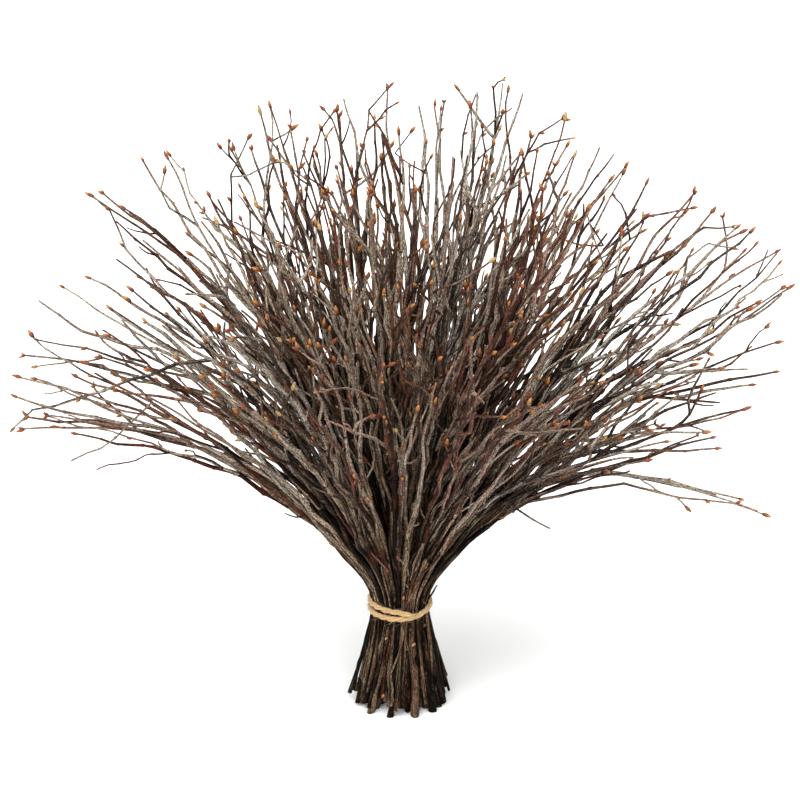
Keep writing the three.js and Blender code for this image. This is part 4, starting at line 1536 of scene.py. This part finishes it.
# %% Lay the twine
TWINE_LOOP = 24.3
TWINE_ROUTE = (
    (302, 85.5), (270, 86.6), (225, 88), (180, 89), (135, 90), (90, 90), (45, 88.5), (0, 86), (-40, 83),
    (-75, 80.8), (-110, 80.6), (-150, 81), (-190, 81.5), (-230, 83), (-262, 84),
)
STRANDS = 3
STRAND_RADIUS = 1.12
STRAND_OFFSET = 1.12
TWIST_LENGTH = 23.0
STRAND_SIDES = 10
STRAND_STEP = 0.7
FIBRES = 420
FIBRE_LENGTHS = (1.5, 6.5)
FIBRE_START = 1.9  # from the middle of the twine
FIBRE_RADII = (0.08, 0.035)
FIBRE_RINGS = 5
TUCK = 2.6  # how far the free ends bend towards the turn beside them
TUCK_LENGTHS = (16, 12)  # over which its start and its end bend
EVENED = 25  # steps over which its rise is evened out
OVER_SHARE = 0.6  # of TUCK, how far its start lies over the turn beside it
UNEVEN_TWIST, TWIST_WAVE = 0.25, 17  # in radians, and how long the waves are, in millimetres
STRAND_WAVES = ((0.06, 3.1, 2), (0.04, 1.3, 0))  # height, wave and how the strands differ
STRAND_COARSENESS = 0.04
FRAYED, FRAYED_RADIUS = 9, 0.35  # over which an end thins out, and how far
FIBRE_LIE, FIBRE_RISES = 0.4, (0.15, 0.6)  # how far they stray, and how far they rise
TWINE_SEED = 77


def twine_line():
    """The middle of the twine, every STRAND_STEP, with its tucked ends."""
    turns, heights = np.array(TWINE_ROUTE, float).T
    span = np.radians(turns[0] - turns[-1]) * TWINE_LOOP
    walked = np.linspace(0, 1, round(span / STRAND_STEP))
    angle = np.radians(lerp(turns[0], turns[-1], walked))
    height = np.interp(-np.degrees(angle), -turns, heights)
    height = np.convolve(np.pad(height, EVENED // 2, "edge"), np.ones(EVENED) / EVENED, "valid")
    over = 1 - smooth_step(walked * span, 0, TUCK_LENGTHS[0])
    under = 1 - smooth_step((1 - walked) * span, 0, TUCK_LENGTHS[1])
    loop = TWINE_LOOP + TUCK * (OVER_SHARE * over - under)
    height = height - TUCK * over + TUCK * under
    return np.column_stack((loop * np.cos(angle), loop * np.sin(angle), height))


def make_twine():
    """The three strands and their loose fibres, as one pile."""
    rng = np.random.default_rng(TWINE_SEED)
    pile = Pile()
    middle = twine_line()
    walked = np.arange(len(middle)) * STRAND_STEP
    course = course_of(middle)
    outward = unit(middle * (1, 1, 0))
    upward = np.cross(outward, course)
    for strand in range(STRANDS):
        phase = 2 * math.pi * (walked / TWIST_LENGTH + strand / STRANDS)
        phase = phase + UNEVEN_TWIST * np.sin(walked / TWIST_WAVE + strand)
        around = outward * np.cos(phase)[:, None] + upward * np.sin(phase)[:, None]
        width = 1
        for height, wave, shift in STRAND_WAVES:
            width = width + height * np.sin(walked / wave + shift * strand)
        relief = 1 + STRAND_COARSENESS * rng.normal(size=(len(walked), STRAND_SIDES))
        from_end = np.minimum(walked, walked[-1] - walked)
        radii = STRAND_RADIUS * width * np.clip(from_end / FRAYED + FRAYED_RADIUS, 0, 1)
        line = middle + around * STRAND_OFFSET
        pile.add(line, radii, STRAND_SIDES, relief, along=walked, tone=strand / STRANDS)
    for _ in range(FIBRES):
        at = rng.integers(4, len(middle) - 4)
        turn = rng.uniform(0, 2 * math.pi)
        out = outward[at] * math.cos(turn) + upward[at] * math.sin(turn)
        lie = course[at] * rng.choice((-1, 1)) + rng.normal(size=3) * FIBRE_LIE
        share = np.linspace(0, 1, FIBRE_RINGS)[:, None]
        length = rng.uniform(*FIBRE_LENGTHS)
        rise = out * (FIBRE_START + length * rng.uniform(*FIBRE_RISES) * share)
        points = middle[at] + rise + lie * length * share * share
        pile.add(points, np.linspace(*FIBRE_RADII, FIBRE_RINGS), 3, tone=rng.uniform(), age=1.0)
    return pile


twine_pile = make_twine()
print("twine triangles", twine_pile.triangles())

# %% [markdown]
# ## Jute
# Jute is straw-coloured and dull, with a little sheen from its many fibres. They lie along each
# strand, so the noise is drawn out along the rod and turned a little round it.

# %% Finish the twine


def make_jute():
    """Straw-coloured fibres along each strand, darker in the grooves, partly their own colour and partly
    painted shade.
    """
    material, w, shader = new_material("jute", Roughness=0.9, Sheen_Weight=0.3)
    grain = w.attribute("grain", "Vector")
    tone = w.attribute("tone", "Fac")
    lay = {"Vector": grain, "Angle": 0.6}
    twist = w.node("ShaderNodeVectorRotate", lay, rotation_type="X_AXIS").outputs[0]
    fibres = w.noise(w.stretch(twist, (4.5, 4.5, 0.9)), 4.0, 0.65)
    blots = w.noise(w.stretch(grain, (0.4, 0.4, 0.12)), 2.0)
    # Painted shade in part: the dark fibre colour lies in the low parts of the relief, the grooves.
    colour = w.mix(w.between(fibres, 0.34, 0.64), paint("634829"), paint("c09b62"))
    colour = w.mix(w.between(blots, 0.5, 0.75), colour, paint("9a7748"))
    colour = w.mix(w.times(tone, 0.2), colour, paint("d2b786"))
    cover(w, shader, colour, fibres, 0.9, 0.0004)
    return material


twine = twine_pile.mesh("jute_twine", (make_jute(),))
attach(twine, "root")
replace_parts(twine, "twine")
print("twine corners", len(twine.data.vertices))

# %% [markdown]
# ## Floor and light
# A plain pale floor, and light as in a studio: a pale world all round, and one key light from above
# in front. A sun lamp serves as the key, because it lights every twig alike, and its wide disc
# gives soft shadows. The floor is far larger than the picture, so no edge of it shows.

# %% Stage
FLOOR_SIZE = 30.0
FLOOR_COLOUR = (0.66, 0.66, 0.656, 1)
WORLD_STRENGTH = 0.75
KEY_PLACE = (-0.4, -1.65, 2.4)
KEY_WIDTH = math.radians(80)
KEY_STRENGTH = 8.0


def make_floor():
    """A pale plane on which the bundle stands."""
    half = FLOOR_SIZE / 2
    corners = [(-half, -half, 0), (half, -half, 0), (half, half, 0), (-half, half, 0)]
    mesh = bpy.data.meshes.new("floor")
    mesh.from_pydata(corners, [], [(0, 1, 2, 3)])
    mesh.materials.append(new_material("pale_floor", Base_Color=FLOOR_COLOUR, Roughness=0.9)[0])
    put("floor", mesh)


def make_world():
    """A world that shines evenly from all sides."""
    world = bpy.data.worlds.new("studio")
    world.use_nodes = True
    background = world.node_tree.nodes["Background"]
    background.inputs["Color"].default_value = (1, 1, 1, 1)
    background.inputs["Strength"].default_value = WORLD_STRENGTH
    bpy.context.scene.world = world


def make_key_light():
    """A sun lamp with a wide disc, turned towards the bundle."""
    lamp = bpy.data.lights.new("key", "SUN")
    lamp.angle = KEY_WIDTH
    lamp.energy = KEY_STRENGTH
    light = put("key", lamp)
    light.location = KEY_PLACE
    light.rotation_euler = (-Vector(KEY_PLACE)).to_track_quat("-Z", "Y").to_euler()


make_floor()
make_world()
make_key_light()
bpy.context.scene.view_settings.view_transform = "Standard"
print("key light", KEY_STRENGTH, "world", WORLD_STRENGTH)
